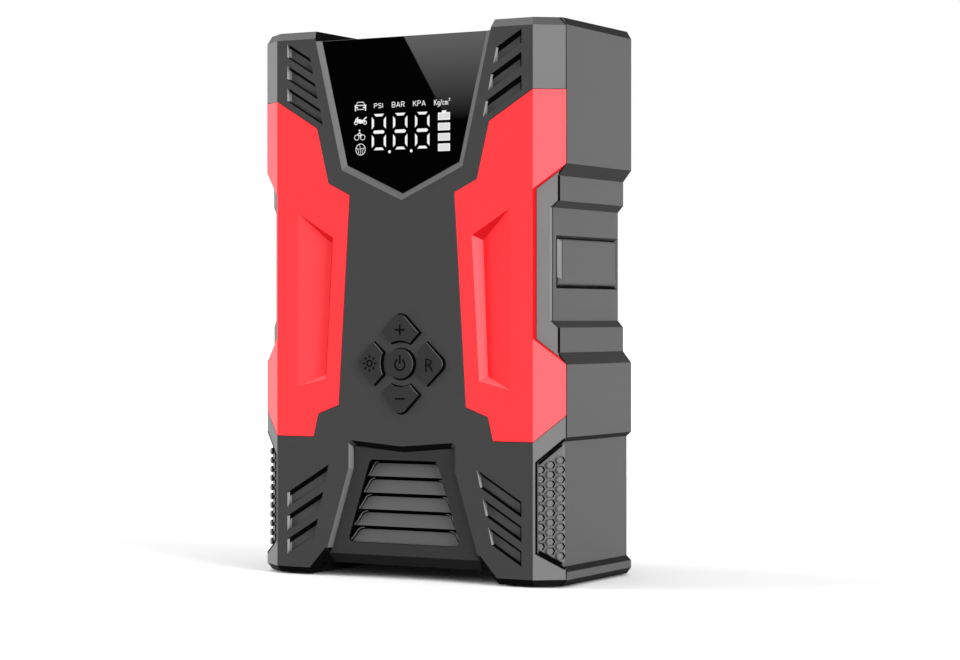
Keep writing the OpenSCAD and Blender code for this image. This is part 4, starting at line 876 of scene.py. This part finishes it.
    def motorbike(self) -> list[Outline]:
        """A motorbike seen from its side."""
        cx = self.sign_x
        pieces = []
        for s in (-1, 1):
            pieces += ring((cx + s * 1.75, 150.75), 0.6, 0.26)
        pieces.append([(cx - 1.4, 151.2), (cx - 0.3, 150.4), (cx + 0.9, 150.5), (cx + 1.0, 151.4),
                       (cx - 0.2, 151.9), (cx - 1.5, 151.9)])
        pieces.append(stroke([(cx - 1.75, 150.8), (cx - 1.9, 151.7), (cx - 0.9, 152.5)], 0.4))
        pieces.append(stroke([(cx + 0.7, 151.2), (cx + 1.5, 151.9), (cx + 2.4, 152.5)], 0.4))
        pieces.append(stroke([(cx + 1.2, 151.7), (cx + 1.8, 150.8)], 0.35))
        return pieces

    def cyclist(self) -> list[Outline]:
        """A rider on a bicycle."""
        pieces = []
        for x in (-17.85, -15.5):
            pieces += ring((x, 145.85), 0.86, 0.18)
        pieces.append(arc((-16.75, 148.15), 0.3, 0, 330, 10))
        for line in ([(-16.9, 147.6), (-16.2, 146.9), (-15.6, 146.5)], [(-16.7, 147.3), (-17.6, 146.9)],
                     [(-15.9, 146.7), (-16.6, 146.1), (-16.2, 145.6)], [(-17.4, 146.6), (-16.0, 146.6)]):
            pieces.append(stroke(line, 0.24))
        return pieces

    def ball(self) -> list[Outline]:
        """A ball with its seams."""
        c = (-16.35, 141.85)
        pieces = ring(c, 1.85, 0.2)
        pieces.append(stroke([(c[0] - 1.75, c[1] + 0.35), (c[0], c[1] + 0.15), (c[0] + 1.75, c[1] + 0.6)], 0.13))
        pieces.append(stroke([(c[0] - 0.5, c[1] + 1.75), (c[0] + 0.1, c[1]), (c[0] - 0.2, c[1] - 1.8)], 0.13))
        pieces.append(stroke(arc((c[0] - 2.3, c[1] - 0.7), 1.5, -25, 55, 8), 0.13))
        pieces.append(stroke(arc((c[0] + 2.2, c[1] - 0.9), 1.5, 205, 125, 8), 0.13))
        return pieces

    def build(self) -> None:
        """Builds the lens with its signs."""
        machined("display_lens", LENS, "casing", bevel_mm=0.15)
        bars = [o for x in self.digit_left for o in self.digit(x)]
        bars += [arc(c, 0.5, 0, 340, 17) for c in ((-5.13, 140.76), (3.2, 140.78))]
        plates("display_digits", bars, self.face_y, self.thick, LIT, "casing")
        signs = self.car() + self.motorbike() + self.cyclist() + self.ball()
        plates("vehicle_signs", signs, self.face_y, self.thick, LIT, "casing")
        words = [o for word in self.words for o in self.word(*word)]
        plates("unit_words", words, self.face_y, self.thick, LIT, "casing")
        x0, x1 = self.battery_x
        blocks, insides = [], []
        for i in range(4):
            low = self.battery_low + i * self.block_step
            high = low + self.block_h
            blocks.append([(x0, low), (x1, low), (x1, high), (x0, high)])
            m = self.block_rim
            insides.append([(x0 + m, low + m), (x1 - m, low + m), (x1 - m, high - m), (x0 + m, high - m)])
        blocks.append([(14.87, 152.8), (16.49, 152.8), (16.49, 153.48), (14.87, 153.48)])
        plates("battery_blocks", blocks, self.face_y, self.thick, LIT, "casing")
        plates("battery_insides", insides, self.face_y - self.thick, self.thick, LIT_DIM, "casing")


@dataclass
class KeyCross:
    """Five keys with their signs."""

    face_y: float = -29.87
    keys: tuple[str, ...] = ("key_power", "key_plus", "key_minus", "key_light", "key_mode")
    line: float = 0.62
    # width of the painted shadow beside each key, in mm
    relief: float = 0.62
    gap: float = 0.21
    casing_y: float = -29.0

    def signs(self) -> dict[str, list[Outline]]:
        """The signs of the keys, as outlines in mm by key name."""
        z = KEYS_Z
        sun = (-11.75, z)
        rays = [stroke([(sun[0] + 1.75 * math.cos(a), z + 1.75 * math.sin(a)),
                        (sun[0] + 2.65 * math.cos(a), z + 2.8 * math.sin(a))], 0.62)
                for a in (math.radians(45 * i) for i in range(8))]
        power = (-0.05, z - 0.3)
        return {
            "key_plus": [stroke([(-1.95, z + 11.1), (1.85, z + 11.1)], self.line),
                         stroke([(-0.05, z + 9.3), (-0.05, z + 12.9)], self.line)],
            "key_minus": [stroke([(-1.95, z - 11.5), (1.85, z - 11.5)], self.line)],
            "key_light": ring(sun, 0.98, 0.56) + rays,
            "key_power": [stroke(arc(power, 1.85, a, a + 102, 10), self.line) for a in (118, 219, 320)] + [
                          stroke([(power[0], power[1] + 0.2), (power[0], power[1] + 3.2)], self.line)],
        }

    @staticmethod
    def paint(_: Vector, normal: Vector) -> Finish:
        """Chooses the finish of a face of a key."""
        # painted shade on the keys' sides
        if normal.y > -0.3:
            return SHADOW
        # painted highlight on bevels that face right and up
        return KEY_HIGHLIGHT if normal.y > -0.97 and normal.x > 0.25 and normal.z > -0.2 else KEYCAP

    def outline(self, key: str) -> list[Point]:
        """The outline of a key's front face in mm, anticlockwise seen from the front."""
        shape = merged(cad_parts[key].data)
        front = max((f for f in shape.faces if f.normal.y < -0.97), key=lambda f: f.calc_area())
        points = [(v.co.x / MM, v.co.z / MM) for v in front.verts]
        shape.free()
        return points

    def painted_shadows(self) -> list[Outline]:
        """Painted shadow on the casing at the right of every key, as outlines in mm."""
        strips = []
        for key in self.keys:
            points = self.outline(key)
            count = len(points)
            sides = []
            for (ax, az), (bx, bz) in zip(points, points[1:] + points[:1]):
                size = math.hypot(bx - ax, bz - az) or 1.0
                sides.append(((bz - az) / size, (ax - bx) / size))
            for i in range(count):
                if sides[i][0] < 0.1 and sides[i][1] > -0.85:
                    continue
                quad = []
                for k in (i, (i + 1) % count):
                    before, after = sides[k - 1], sides[k]
                    nx, nz = before[0] + after[0], before[1] + after[1]
                    size = math.hypot(nx, nz) or 1.0
                    x, z = points[k][0] + nx / size * self.gap, points[k][1] + nz / size * self.gap
                    wide = self.relief * max(0.3, nx / size, -0.6 * nz / size)
                    quad.append(((x, z), (x + wide * nx / size, z + wide * nz / size - 0.05)))
                strips.append([quad[0][0], quad[0][1], quad[1][1], quad[1][0]])
        return strips

    def build(self) -> None:
        """Builds the keys and their signs."""
        for key in self.keys:
            cap = machined(key, KEYCAP, key, bevel_mm=0.15, paint=self.paint)
            for corner in cap.data.vertices:
                corner.co.y = max(corner.co.y, self.face_y * MM)
        # painted shadow crescents at the right of each key
        plates("key_painted_shadows", self.painted_shadows(), self.casing_y, PAINTED_PLATE, SHADOW, "casing")
        for key, outlines in self.signs().items():
            plates(f"{key}_sign", outlines, self.face_y, SKIN, INK, key)
        letter = lettering("R", (9.6, 68.6), (12.8, 72.8))
        join_meshes("key_mode_sign", [letter], Vector((0, self.face_y * MM, 0)), INK, "key_mode")


class PieceTree:
    """A geometry tree whose named inputs are set by the identifiers of their sockets."""

    title: str = ""
    inputs: tuple[tuple[str, str, object], ...] = ()

    def __init__(self) -> None:
        """Builds the tree and keeps the identifiers of its inputs."""
        self.tree = bpy.data.node_groups.new(self.title, "GeometryNodeTree")
        self.names: dict[str, str] = {}
        for name, kind, default in self.inputs:
            socket = self.tree.interface.new_socket(name, in_out="INPUT", socket_type=kind)
            if default is not None:
                socket.default_value = default
            self.names[name] = socket.identifier
        self.tree.interface.new_socket("Geometry", in_out="OUTPUT", socket_type="NodeSocketGeometry")
        result = self.nodes(self.tree, add(self.tree, "NodeGroupInput").outputs)
        add(self.tree, "NodeGroupOutput", links={0: result})

    def nodes(self, t: bpy.types.NodeTree, given: bpy.types.NodeOutputs) -> bpy.types.NodeSocket:
        """Adds the tree's nodes, from the given inputs to the result."""
        raise NotImplementedError

    def grow(self, piece: bpy.types.Object, values: dict[str, object]) -> bpy.types.Object:
        """Runs the tree on a piece and keeps what it makes as a plain mesh.

        Args:
            piece: The piece, changed in place.
            values: The tree's inputs by name.

        Returns:
            The same piece.
        """
        modifier = piece.modifiers.new(self.title, "NODES")
        modifier.node_group = self.tree
        for name, value in values.items():
            modifier[self.names[name]] = value
        return bake(piece)


class StudTree(PieceTree):
    """A geometry tree that sets leaning hexagonal studs in a column."""

    title = "leaning_studs"
    inputs = (("Count", "NodeSocketInt", 9), ("Start", "NodeSocketVector", (0.0, 0.0, 0.0)),
              ("Step", "NodeSocketVector", (0.0, 0.003, 0.0)), ("Radius", "NodeSocketFloat", 0.00125),
              ("Height", "NodeSocketFloat", 0.0008), ("Draft", "NodeSocketFloat", 0.0001),
              ("Lean", "NodeSocketVector", (0.0, 0.0, 0.0)), ("Top", "NodeSocketMaterial", None),
              ("Side", "NodeSocketMaterial", None))

    def nodes(self, t: bpy.types.NodeTree, given: bpy.types.NodeOutputs) -> bpy.types.NodeSocket:
        """Adds the nodes of a drafted stud, its lean, its column and its two finishes."""
        top_radius = add(t, "ShaderNodeMath", links={0: given["Radius"], 1: given["Draft"]}, operation="SUBTRACT")
        stud = add(t, "GeometryNodeMeshCone", {"Vertices": 6},
                   {"Radius Top": top_radius.outputs[0], "Radius Bottom": given["Radius"], "Depth": given["Height"]},
                   fill_type="NGON")
        moved = add(t, "GeometryNodeSetPosition",
                    links={"Geometry": stud.outputs["Mesh"], "Selection": stud.outputs["Top"], "Offset": given["Lean"]})
        line = add(t, "GeometryNodeMeshLine", links={"Count": given["Count"], "Start Location": given["Start"],
                                                     "Offset": given["Step"]})
        placed = add(t, "GeometryNodeInstanceOnPoints",
                     links={"Points": line.outputs[0], "Instance": moved.outputs[0]})
        real = add(t, "GeometryNodeRealizeInstances", links={0: placed.outputs[0]})
        facing_out = add(t, "ShaderNodeSeparateXYZ", links={0: add(t, "GeometryNodeInputNormal").outputs[0]})
        is_top = add(t, "ShaderNodeMath", {1: 0.9}, {0: facing_out.outputs["Z"]}, operation="GREATER_THAN")
        sides = add(t, "GeometryNodeSetMaterial", links={"Geometry": real.outputs[0], "Material": given["Side"]})
        tops = add(t, "GeometryNodeSetMaterial",
                   links={"Geometry": sides.outputs[0], "Selection": is_top.outputs[0], "Material": given["Top"]})
        return tops.outputs[0]


@dataclass
class CornerGrips:
    """The two rubber pads in the lower corners with their leaning hexagonal studs."""

    along: Point = (0.793, 0.609)
    depth: float = 1.7
    columns: tuple[float, ...] = (3.05, 6.33, 9.55)
    middle_z: float = 25.4
    rows: int = 9
    pitch: float = 3.06
    radius: float = 1.3
    draft: float = 0.15
    rise: float = 0.95
    lean: float = 0.62
    # the painted shadow line round each pad: its corners as (along the corner, height) and its width, in mm
    groove: tuple[Point, ...] = ((10.45, 6.05), (1.12, 10.95), (1.12, 40.1), (10.45, 47.6))
    groove_w: float = 0.7

    def build(self) -> None:
        """Builds both grips."""
        tree = StudTree()
        for side, s in (("left", -1), ("right", 1)):
            machined(f"corner_grip_{side}", GRIP, "casing", bevel_mm=0.15)
            across = Vector((s * self.along[0], self.along[1], 0))
            out = Vector((s * self.along[1], -self.along[0], 0))
            base = Vector((s * CORNER[0], CORNER[1], 0)) - out * self.depth
            columns = []
            for i, x in enumerate(self.columns):
                count = self.rows + i
                start_z = self.middle_z - self.pitch * (count - 1) / 2
                # a mirrored pad runs across the other way, so its columns are counted from the front as well
                column = new_piece("stud_column", bpy.data.meshes.new("stud_column"))
                # each stud's top takes the grip's finish and its sides are painted shade
                columns.append(tree.grow(column, {
                    "Count": count, "Start": (s * x * MM, start_z * MM, 0.0), "Step": (0.0, self.pitch * MM, 0.0),
                    "Radius": self.radius * MM, "Height": self.rise * MM, "Draft": self.draft * MM,
                    "Lean": (-s * self.lean * MM, 0.0, 0.0), "Top": GRIP.material(), "Side": SHADOW.material()}))
            shape = bmesh.new()
            for column in columns:
                shape.from_mesh(column.data)
            turn = Matrix((across * s, Vector((0, 0, 1)), out)).transposed().to_4x4()
            bmesh.ops.transform(shape, matrix=Matrix.Translation(base * MM) @ turn, verts=shape.verts)
            bmesh.ops.recalc_face_normals(shape, faces=shape.faces)
            settle(to_piece(f"grip_studs_{side}", shape, *columns[0].data.materials), "casing")
            for column in columns:
                bpy.data.objects.remove(column)
            # a painted shadow line round each pad, along its groove
            groove = stroke([(s * x, z) for x, z in self.groove][::s], self.groove_w)
            plates(f"grip_groove_{side}", [groove], 0.0, PAINTED_PLATE, SHADOW, "casing",
                   facing((s * CORNER[0], CORNER[1]), (s * self.along[1], -self.along[0])))


class RowTree(PieceTree):
    """A geometry tree that repeats a slat downwards, each one wider than the last."""

    title = "widening_rows"
    inputs = (("Geometry", "NodeSocketGeometry", None), ("Count", "NodeSocketInt", 5),
              ("Step", "NodeSocketVector", (0, 0, -0.0054)), ("Growth", "NodeSocketFloat", 0.1),
              ("Finish", "NodeSocketMaterial", None))

    def nodes(self, t: bpy.types.NodeTree, given: bpy.types.NodeOutputs) -> bpy.types.NodeSocket:
        """Adds the nodes of the rows and their finish."""
        line = add(t, "GeometryNodeMeshLine", links={"Count": given["Count"], "Offset": given["Step"]})
        index = add(t, "GeometryNodeInputIndex")
        wider = add(t, "ShaderNodeMath", {2: 1.0}, {0: index.outputs[0], 1: given["Growth"]},
                    operation="MULTIPLY_ADD")
        scale = add(t, "ShaderNodeCombineXYZ", {1: 1.0, 2: 1.0}, {0: wider.outputs[0]})
        placed = add(t, "GeometryNodeInstanceOnPoints",
                     links={"Points": line.outputs[0], "Instance": given["Geometry"], "Scale": scale.outputs[0]})
        real = add(t, "GeometryNodeRealizeInstances", links={0: placed.outputs[0]})
        dressed = add(t, "GeometryNodeSetMaterial", links={0: real.outputs[0], "Material": given["Finish"]})
        return dressed.outputs[0]


@dataclass
class LouvreGrille:
    """The louvre: five scooped slats with rounded shoulders, with ribs painted pale as a painted highlight, before a
    back painted as near-black shade.
    """

    face_y: float = -27.7
    back_y: float = -21.95
    low: float = 11.8
    high: float = 39.3
    low_half: float = 21.6
    top_half: float = 12.9
    count: int = 5
    gap: float = 1.25
    inset: float = 0.8
    shoulder: float = 1.9
    sunk: float = 1.3
    deep: float = 1.7
    slat: float = 0.9
    # ribs painted pale beside the slats' ends, as a painted highlight
    rib: float = 0.3
    rib_w: float = 0.24
    rib_out: float = 0.5
    rib_rise: float = 0.7
    back_edge: float = 0.3
    back_front: float = 2.9

    def half(self, z: float) -> float:
        """Half the opening's width at a height."""
        share = (self.high - z) / (self.high - self.low)
        return self.top_half + (self.low_half - self.top_half) * share

    def slanted(self, name: str, outline: Outline, rise: float, thick: float) -> bpy.types.Object:
        """Makes a plate that leans back from its lower edge.

        Args:
            name: The piece's name.
            outline: Its outline as (x, height over the lower edge) in mm.
            rise: How far it stands in front of the slat's own plane, in mm.
            thick: Its thickness in mm.

        Returns:
            The new piece.
        """
        tall = (self.high - self.low) / self.count
        foot = self.high - tall
        shape = bmesh.new()
        rings = []
        for depth in (0.0, thick):
            rings.append([shape.verts.new((x * MM, (self.face_y + self.sunk - rise * min(1.0, h / tall)
                                                    + self.deep * h / tall + depth) * MM, (foot + h) * MM))
                          for x, h in outline])
        close(shape, *rings)
        bmesh.ops.triangulate(shape, faces=[f for f in shape.faces if len(f.verts) > 4])
        bmesh.ops.recalc_face_normals(shape, faces=shape.faces)
        return to_piece(name, shape)

    def outline(self, inset: float, drop: float) -> list[Point]:
        """Outline of the highest slat, rounded at its upper corners.

        Args:
            inset: How far it stays from the opening's sides, in mm.
            drop: How far its upper edge stays under the slat above, in mm.

        Returns:
            Points as (x, height over the lower edge) in mm.
        """
        tall = (self.high - self.low) / self.count
        low, top, r = self.half(self.high - tall) - inset, self.half(self.high - drop) - inset, self.shoulder
        right = [(low, 0.0)] + arc((top - r, tall - drop - r), r, 8, 90, 8)
        return right + [(-x, h) for x, h in right[::-1]]

    def build(self) -> None:
        """Builds the grille."""
        tall = (self.high - self.low) / self.count
        tree = RowTree()
        grow = (self.low_half - self.top_half) / self.count / self.half(self.high - tall / 2)
        slats = self.slanted("louvre_slats", self.outline(self.inset, self.gap), 0.0, self.slat)
        rows = {"Count": self.count, "Step": (0.0, 0.0, -tall * MM), "Growth": grow}
        tree.grow(slats, {**rows, "Finish": LOUVRE.material()})
        # thin ribs beside the slats' ends, painted pale as a painted highlight
        shape = self.outline(self.inset - self.rib_out, self.gap - self.rib_out)
        half = len(shape) // 2
        ribs = [self.slanted("louvre_highlight_rib", stroke(line, self.rib_w), self.rib_rise, self.rib)
                for line in (shape[:half], shape[half:])]
        rib = join_meshes("louvre_highlight_ribs", [r.data for r in ribs], Vector(), GREY, "casing")
        for piece in ribs:
            bpy.data.objects.remove(piece)
        tree.grow(rib, {**rows, "Finish": GREY.material()})
        smooth(slats.data, 40)
        settle(slats, "casing")
        # a back painted as near-black shade behind the slats
        edge = self.back_edge
        wide = [(self.low_half - edge, self.low + edge), (self.top_half - edge, self.high - edge)]
        wide += [(-x, z) for x, z in wide[::-1]]
        back = plates("louvre_shade_back", [wide], self.back_y, -self.back_y + self.face_y + self.back_front, SHADOW, "casing")
        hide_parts("louvre_grille")
        # a painted shadow line under the sunk panel's upper edge
        rim = arc((-18.2, 42.9), 1.0, 180, 97, 8) + [(0.0, 42.3)] + arc((18.2, 42.9), 1.0, 83, 30, 6)
        plates("panel_painted_shadow", [stroke(rim, 0.6)], self.face_y, PAINTED_PLATE, SHADOW, "casing")


@dataclass
class Fittings:
    """Port covers, ports, lamp and outlet, and all that the casing hides."""

    cover_x: float = 52.5

    def cover_paint(self, middle: Vector, normal: Vector) -> Finish:
        """Chooses the finish of a face of a port cover."""
        # painted highlight on the long front bevel
        if normal.y < -0.2 and abs(normal.x) > 0.8 and middle.y < -14:
            return COVER_HIGHLIGHT
        # painted shade on the cover's flanks, apart from those low down
        return COVER if abs(normal.x) > 0.6 or middle.z < 99 else SHADOW

    def build(self) -> None:
        """Builds the fittings."""
        for side in ("left", "right"):
            machined(f"port_cover_{side}", COVER, f"cover_{side}", bevel_mm=0.15, paint=self.cover_paint)
            s = -1 if side == "left" else 1
            place = facing((s * self.cover_x, 0.0), (s, 0.0))
            # a line of painted shade in the crease between each cover's bevel and face, and a dark line along the joint
            # in front of the cover, partly the joint's own dark and partly painted shade
            for name, y, wide, low, high, body in (("crease", -15.8, 0.3, 98.2, 111.5, f"cover_{side}"),
                                                   ("gap", -19.55, 0.5, 95.6, 112.6, "casing")):
                line = stroke([(s * y, low), (s * y, high)], wide)
                plates(f"cover_{name}_{side}", [line], 0.0, SKIN, SHADOW, body, place)
            machined(f"cover_pin_{side}", STEEL, "casing")
        plain = {
            "output_socket": SOCKET, "output_contacts": GOLD, "output_leads": RUBBER, "port_block": INNER,
            "usb_a_socket": NICKEL, "usb_c_socket": NICKEL, "port_board": MASK, "lamp_lens": CLEAR,
            "lamp_reflector": MIRROR, "lamp_board": MASK, "air_outlet": BRASS, "air_hose": RUBBER,
            "inflator_frame": CAST, "cylinder": CAST, "cylinder_head": CAST, "head_screws": ZINC,
            "frame_screws": ZINC, "motor_can": CAN, "crank_bush": BRASS, "display_module": GLASS,
            "display_board": MASK, "key_board": MASK, "tact_switches": EPOXY, "board_screws": ZINC,
            "main_board": MASK, "board_components": EPOXY, "battery_cells": FILM, "battery_bracket": INNER,
            "bracket_screws": ZINC}
        for node, finish in plain.items():
            machined(node, finish, "casing")
        for node, finish in (("motor_shaft", STEEL), ("motor_pinion", BRASS), ("cooling_fan", INNER)):
            machined(node, finish, "rotor")
        for node, finish in (("crank_gear", NYLON), ("crank_shaft", STEEL)):
            machined(node, finish, "crank")
        for node, finish in (("piston_rod", NYLON), ("piston_seal", RUBBER)):
            machined(node, finish, "piston")


# ---------------------------------------------------------------- studio

@dataclass
class Studio:
    """Camera, floor, lamps and the card that the lens mirrors."""

    camera_at: tuple[float, float, float] = (425.0, -728.4, 85.6)
    yaw: float = 29.48
    pitch: float = -0.242
    lens: float = 93.64
    target: tuple[float, float, float] = (0.0, 0.0, 0.09)
    lamps: tuple = (("right", 72.0, 12.0, 1.3, 30.0), ("left", -70.0, 12.0, 1.15, 30.0),
                    ("top", 0.0, 86.0, 0.5, 60.0))
    ambient: float = 0.3

    def camera(self) -> None:
        """Makes the camera."""
        data = bpy.data.cameras.new("camera")
        data.sensor_width = 36.0
        data.lens = self.lens
        data.clip_start = 0.01
        psi, tilt = math.radians(self.yaw), math.radians(self.pitch)
        look = Vector((-math.sin(psi) * math.cos(tilt), math.cos(psi) * math.cos(tilt), math.sin(tilt)))
        camera = new_piece("camera", data)
        camera.location = Vector(self.camera_at) * MM
        camera.rotation_euler = look.to_track_quat("-Z", "Y").to_euler()
        bpy.context.scene.camera = camera

    def pale(self, name: str, colour: str, glow: float) -> bpy.types.Material:
        """A pale matt material that glows a little to the camera and to mirrors."""
        made = blank(name)
        tree = made.node_tree
        seen = self.seen_rays(tree)
        paint = add(tree, "ShaderNodeBsdfDiffuse", {"Color": linear(colour)})
        light = add(tree, "ShaderNodeEmission", {"Color": (1, 1, 1, 1)})
        # it glows only far from the pack, so that the shadows beside it stay
        place = add(tree, "ShaderNodeTexCoord").outputs["Object"]
        far = add(tree, "ShaderNodeVectorMath", links={0: place}, operation="LENGTH")
        rise = add(tree, "ShaderNodeMapRange", {"From Min": 0.3, "From Max": 1.2, "To Min": 0.0, "To Max": glow},
                   {"Value": far.outputs["Value"]})
        power = add(tree, "ShaderNodeMath", links={0: seen, 1: rise.outputs[0]}, operation="MULTIPLY")
        tree.links.new(power.outputs[0], light.inputs["Strength"])
        both = add(tree, "ShaderNodeAddShader", links={0: paint.outputs[0], 1: light.outputs[0]})
        add(tree, "ShaderNodeOutputMaterial", links={"Surface": both.outputs[0]})
        return made

    @staticmethod
    def seen_rays(tree: bpy.types.NodeTree) -> bpy.types.NodeSocket:
        """1 for rays from the camera, from mirrors and through glass, else 0."""
        rays = add(tree, "ShaderNodeLightPath").outputs
        either = add(tree, "ShaderNodeMath", links={0: rays["Is Camera Ray"], 1: rays["Is Glossy Ray"]},
                     operation="MAXIMUM")
        every = add(tree, "ShaderNodeMath", links={0: either.outputs[0], 1: rays["Is Transmission Ray"]},
                    operation="MAXIMUM")
        return every.outputs[0]

    def floor(self) -> None:
        """Makes the pale floor."""
        mesh = bpy.data.meshes.new("floor")
        mesh.from_pydata([(-40, -40, 0), (40, -40, 0), (40, 40, 0), (-40, 40, 0)], [], [(0, 1, 2, 3)])
        mesh.materials.append(self.pale("floor_paper", "#f9f9f9", 0.4))
        new_piece("floor", mesh)

    def world(self) -> None:
        """Makes a white surround for the camera and mirrors and an even weaker light for the rest."""
        world = bpy.data.worlds.new("studio")
        world.use_nodes = True
        tree = world.node_tree
        tree.nodes.clear()
        seen = self.seen_rays(tree)
        level = add(tree, "ShaderNodeMapRange", {"To Min": self.ambient, "To Max": 1.0}, {"Value": seen})
        light = add(tree, "ShaderNodeBackground", {"Color": (1, 1, 1, 1)}, {"Strength": level.outputs[0]})
        add(tree, "ShaderNodeOutputWorld", links={"Surface": light.outputs[0]})
        bpy.context.scene.world = world

    def light(self) -> None:
        """Makes the lamps, each by its turn from the front, its height angle, level and softness in degrees."""
        for name, turn, rise, level, softness in self.lamps:
            data = bpy.data.lights.new(name, "SUN")
            data.energy = level * math.pi
            data.angle = math.radians(softness)
            a, b = math.radians(turn), math.radians(rise)
            away = Vector((math.sin(a) * math.cos(b), -math.cos(a) * math.cos(b), math.sin(b)))
            lamp = new_piece(name, data)
            lamp.location = Vector(self.target) + away
            lamp.rotation_euler = (-away).to_track_quat("-Z", "Y").to_euler()
            lamp.visible_glossy = False

    def card(self) -> None:
        """Makes the dark card that the lens mirrors, with a soft light patch in its upper right."""
        mesh = bpy.data.meshes.new("mirror_card")
        mesh.from_pydata([(-0.72, -1.0, -0.1), (-0.45, -1.0, -0.1), (-0.45, -1.0, 0.4), (-0.72, -1.0, 0.4)],
                         [], [(0, 1, 2, 3)])
        made = blank("mirror_card")
        tree = made.node_tree
        place = add(tree, "ShaderNodeSeparateXYZ",
                    links={0: add(tree, "ShaderNodeTexCoord").outputs["Object"]}).outputs
        # the patch ends at a slanted edge and fades downwards
        slope = add(tree, "ShaderNodeMath", {1: -0.587, 2: -0.589 + 0.587 * 0.3074}, {0: place["Z"]},
                    operation="MULTIPLY_ADD")
        inside = add(tree, "ShaderNodeMath", links={0: place["X"], 1: slope.outputs[0]}, operation="GREATER_THAN")
        fade = add(tree, "ShaderNodeMapRange", {"From Min": 0.24, "From Max": 0.31, "To Min": 0.0, "To Max": 3.0},
                   {"Value": place["Z"]})
        power = add(tree, "ShaderNodeMath", links={0: inside.outputs[0], 1: fade.outputs[0]}, operation="MULTIPLY")
        light = add(tree, "ShaderNodeEmission", links={"Strength": power.outputs[0]})
        add(tree, "ShaderNodeOutputMaterial", links={"Surface": light.outputs[0]})
        mesh.materials.append(made)
        card = new_piece("mirror_card", mesh)
        card.visible_camera = card.visible_diffuse = card.visible_shadow = card.visible_transmission = False

    def build(self) -> None:
        """Builds the studio."""
        self.floor()
        self.world()
        self.light()
        self.card()
        bpy.context.scene.view_settings.view_transform = "Standard"


def main() -> None:
    """Builds every piece in order."""
    logging.basicConfig(level=logging.INFO, format="%(message)s")
    studio = Studio()
    studio.camera()
    for part in (Casing(), DisplayWindow(), KeyCross(), CornerGrips(), LouvreGrille(), Fittings(), studio):
        part.build()


if __name__ == "__main__":
    main()
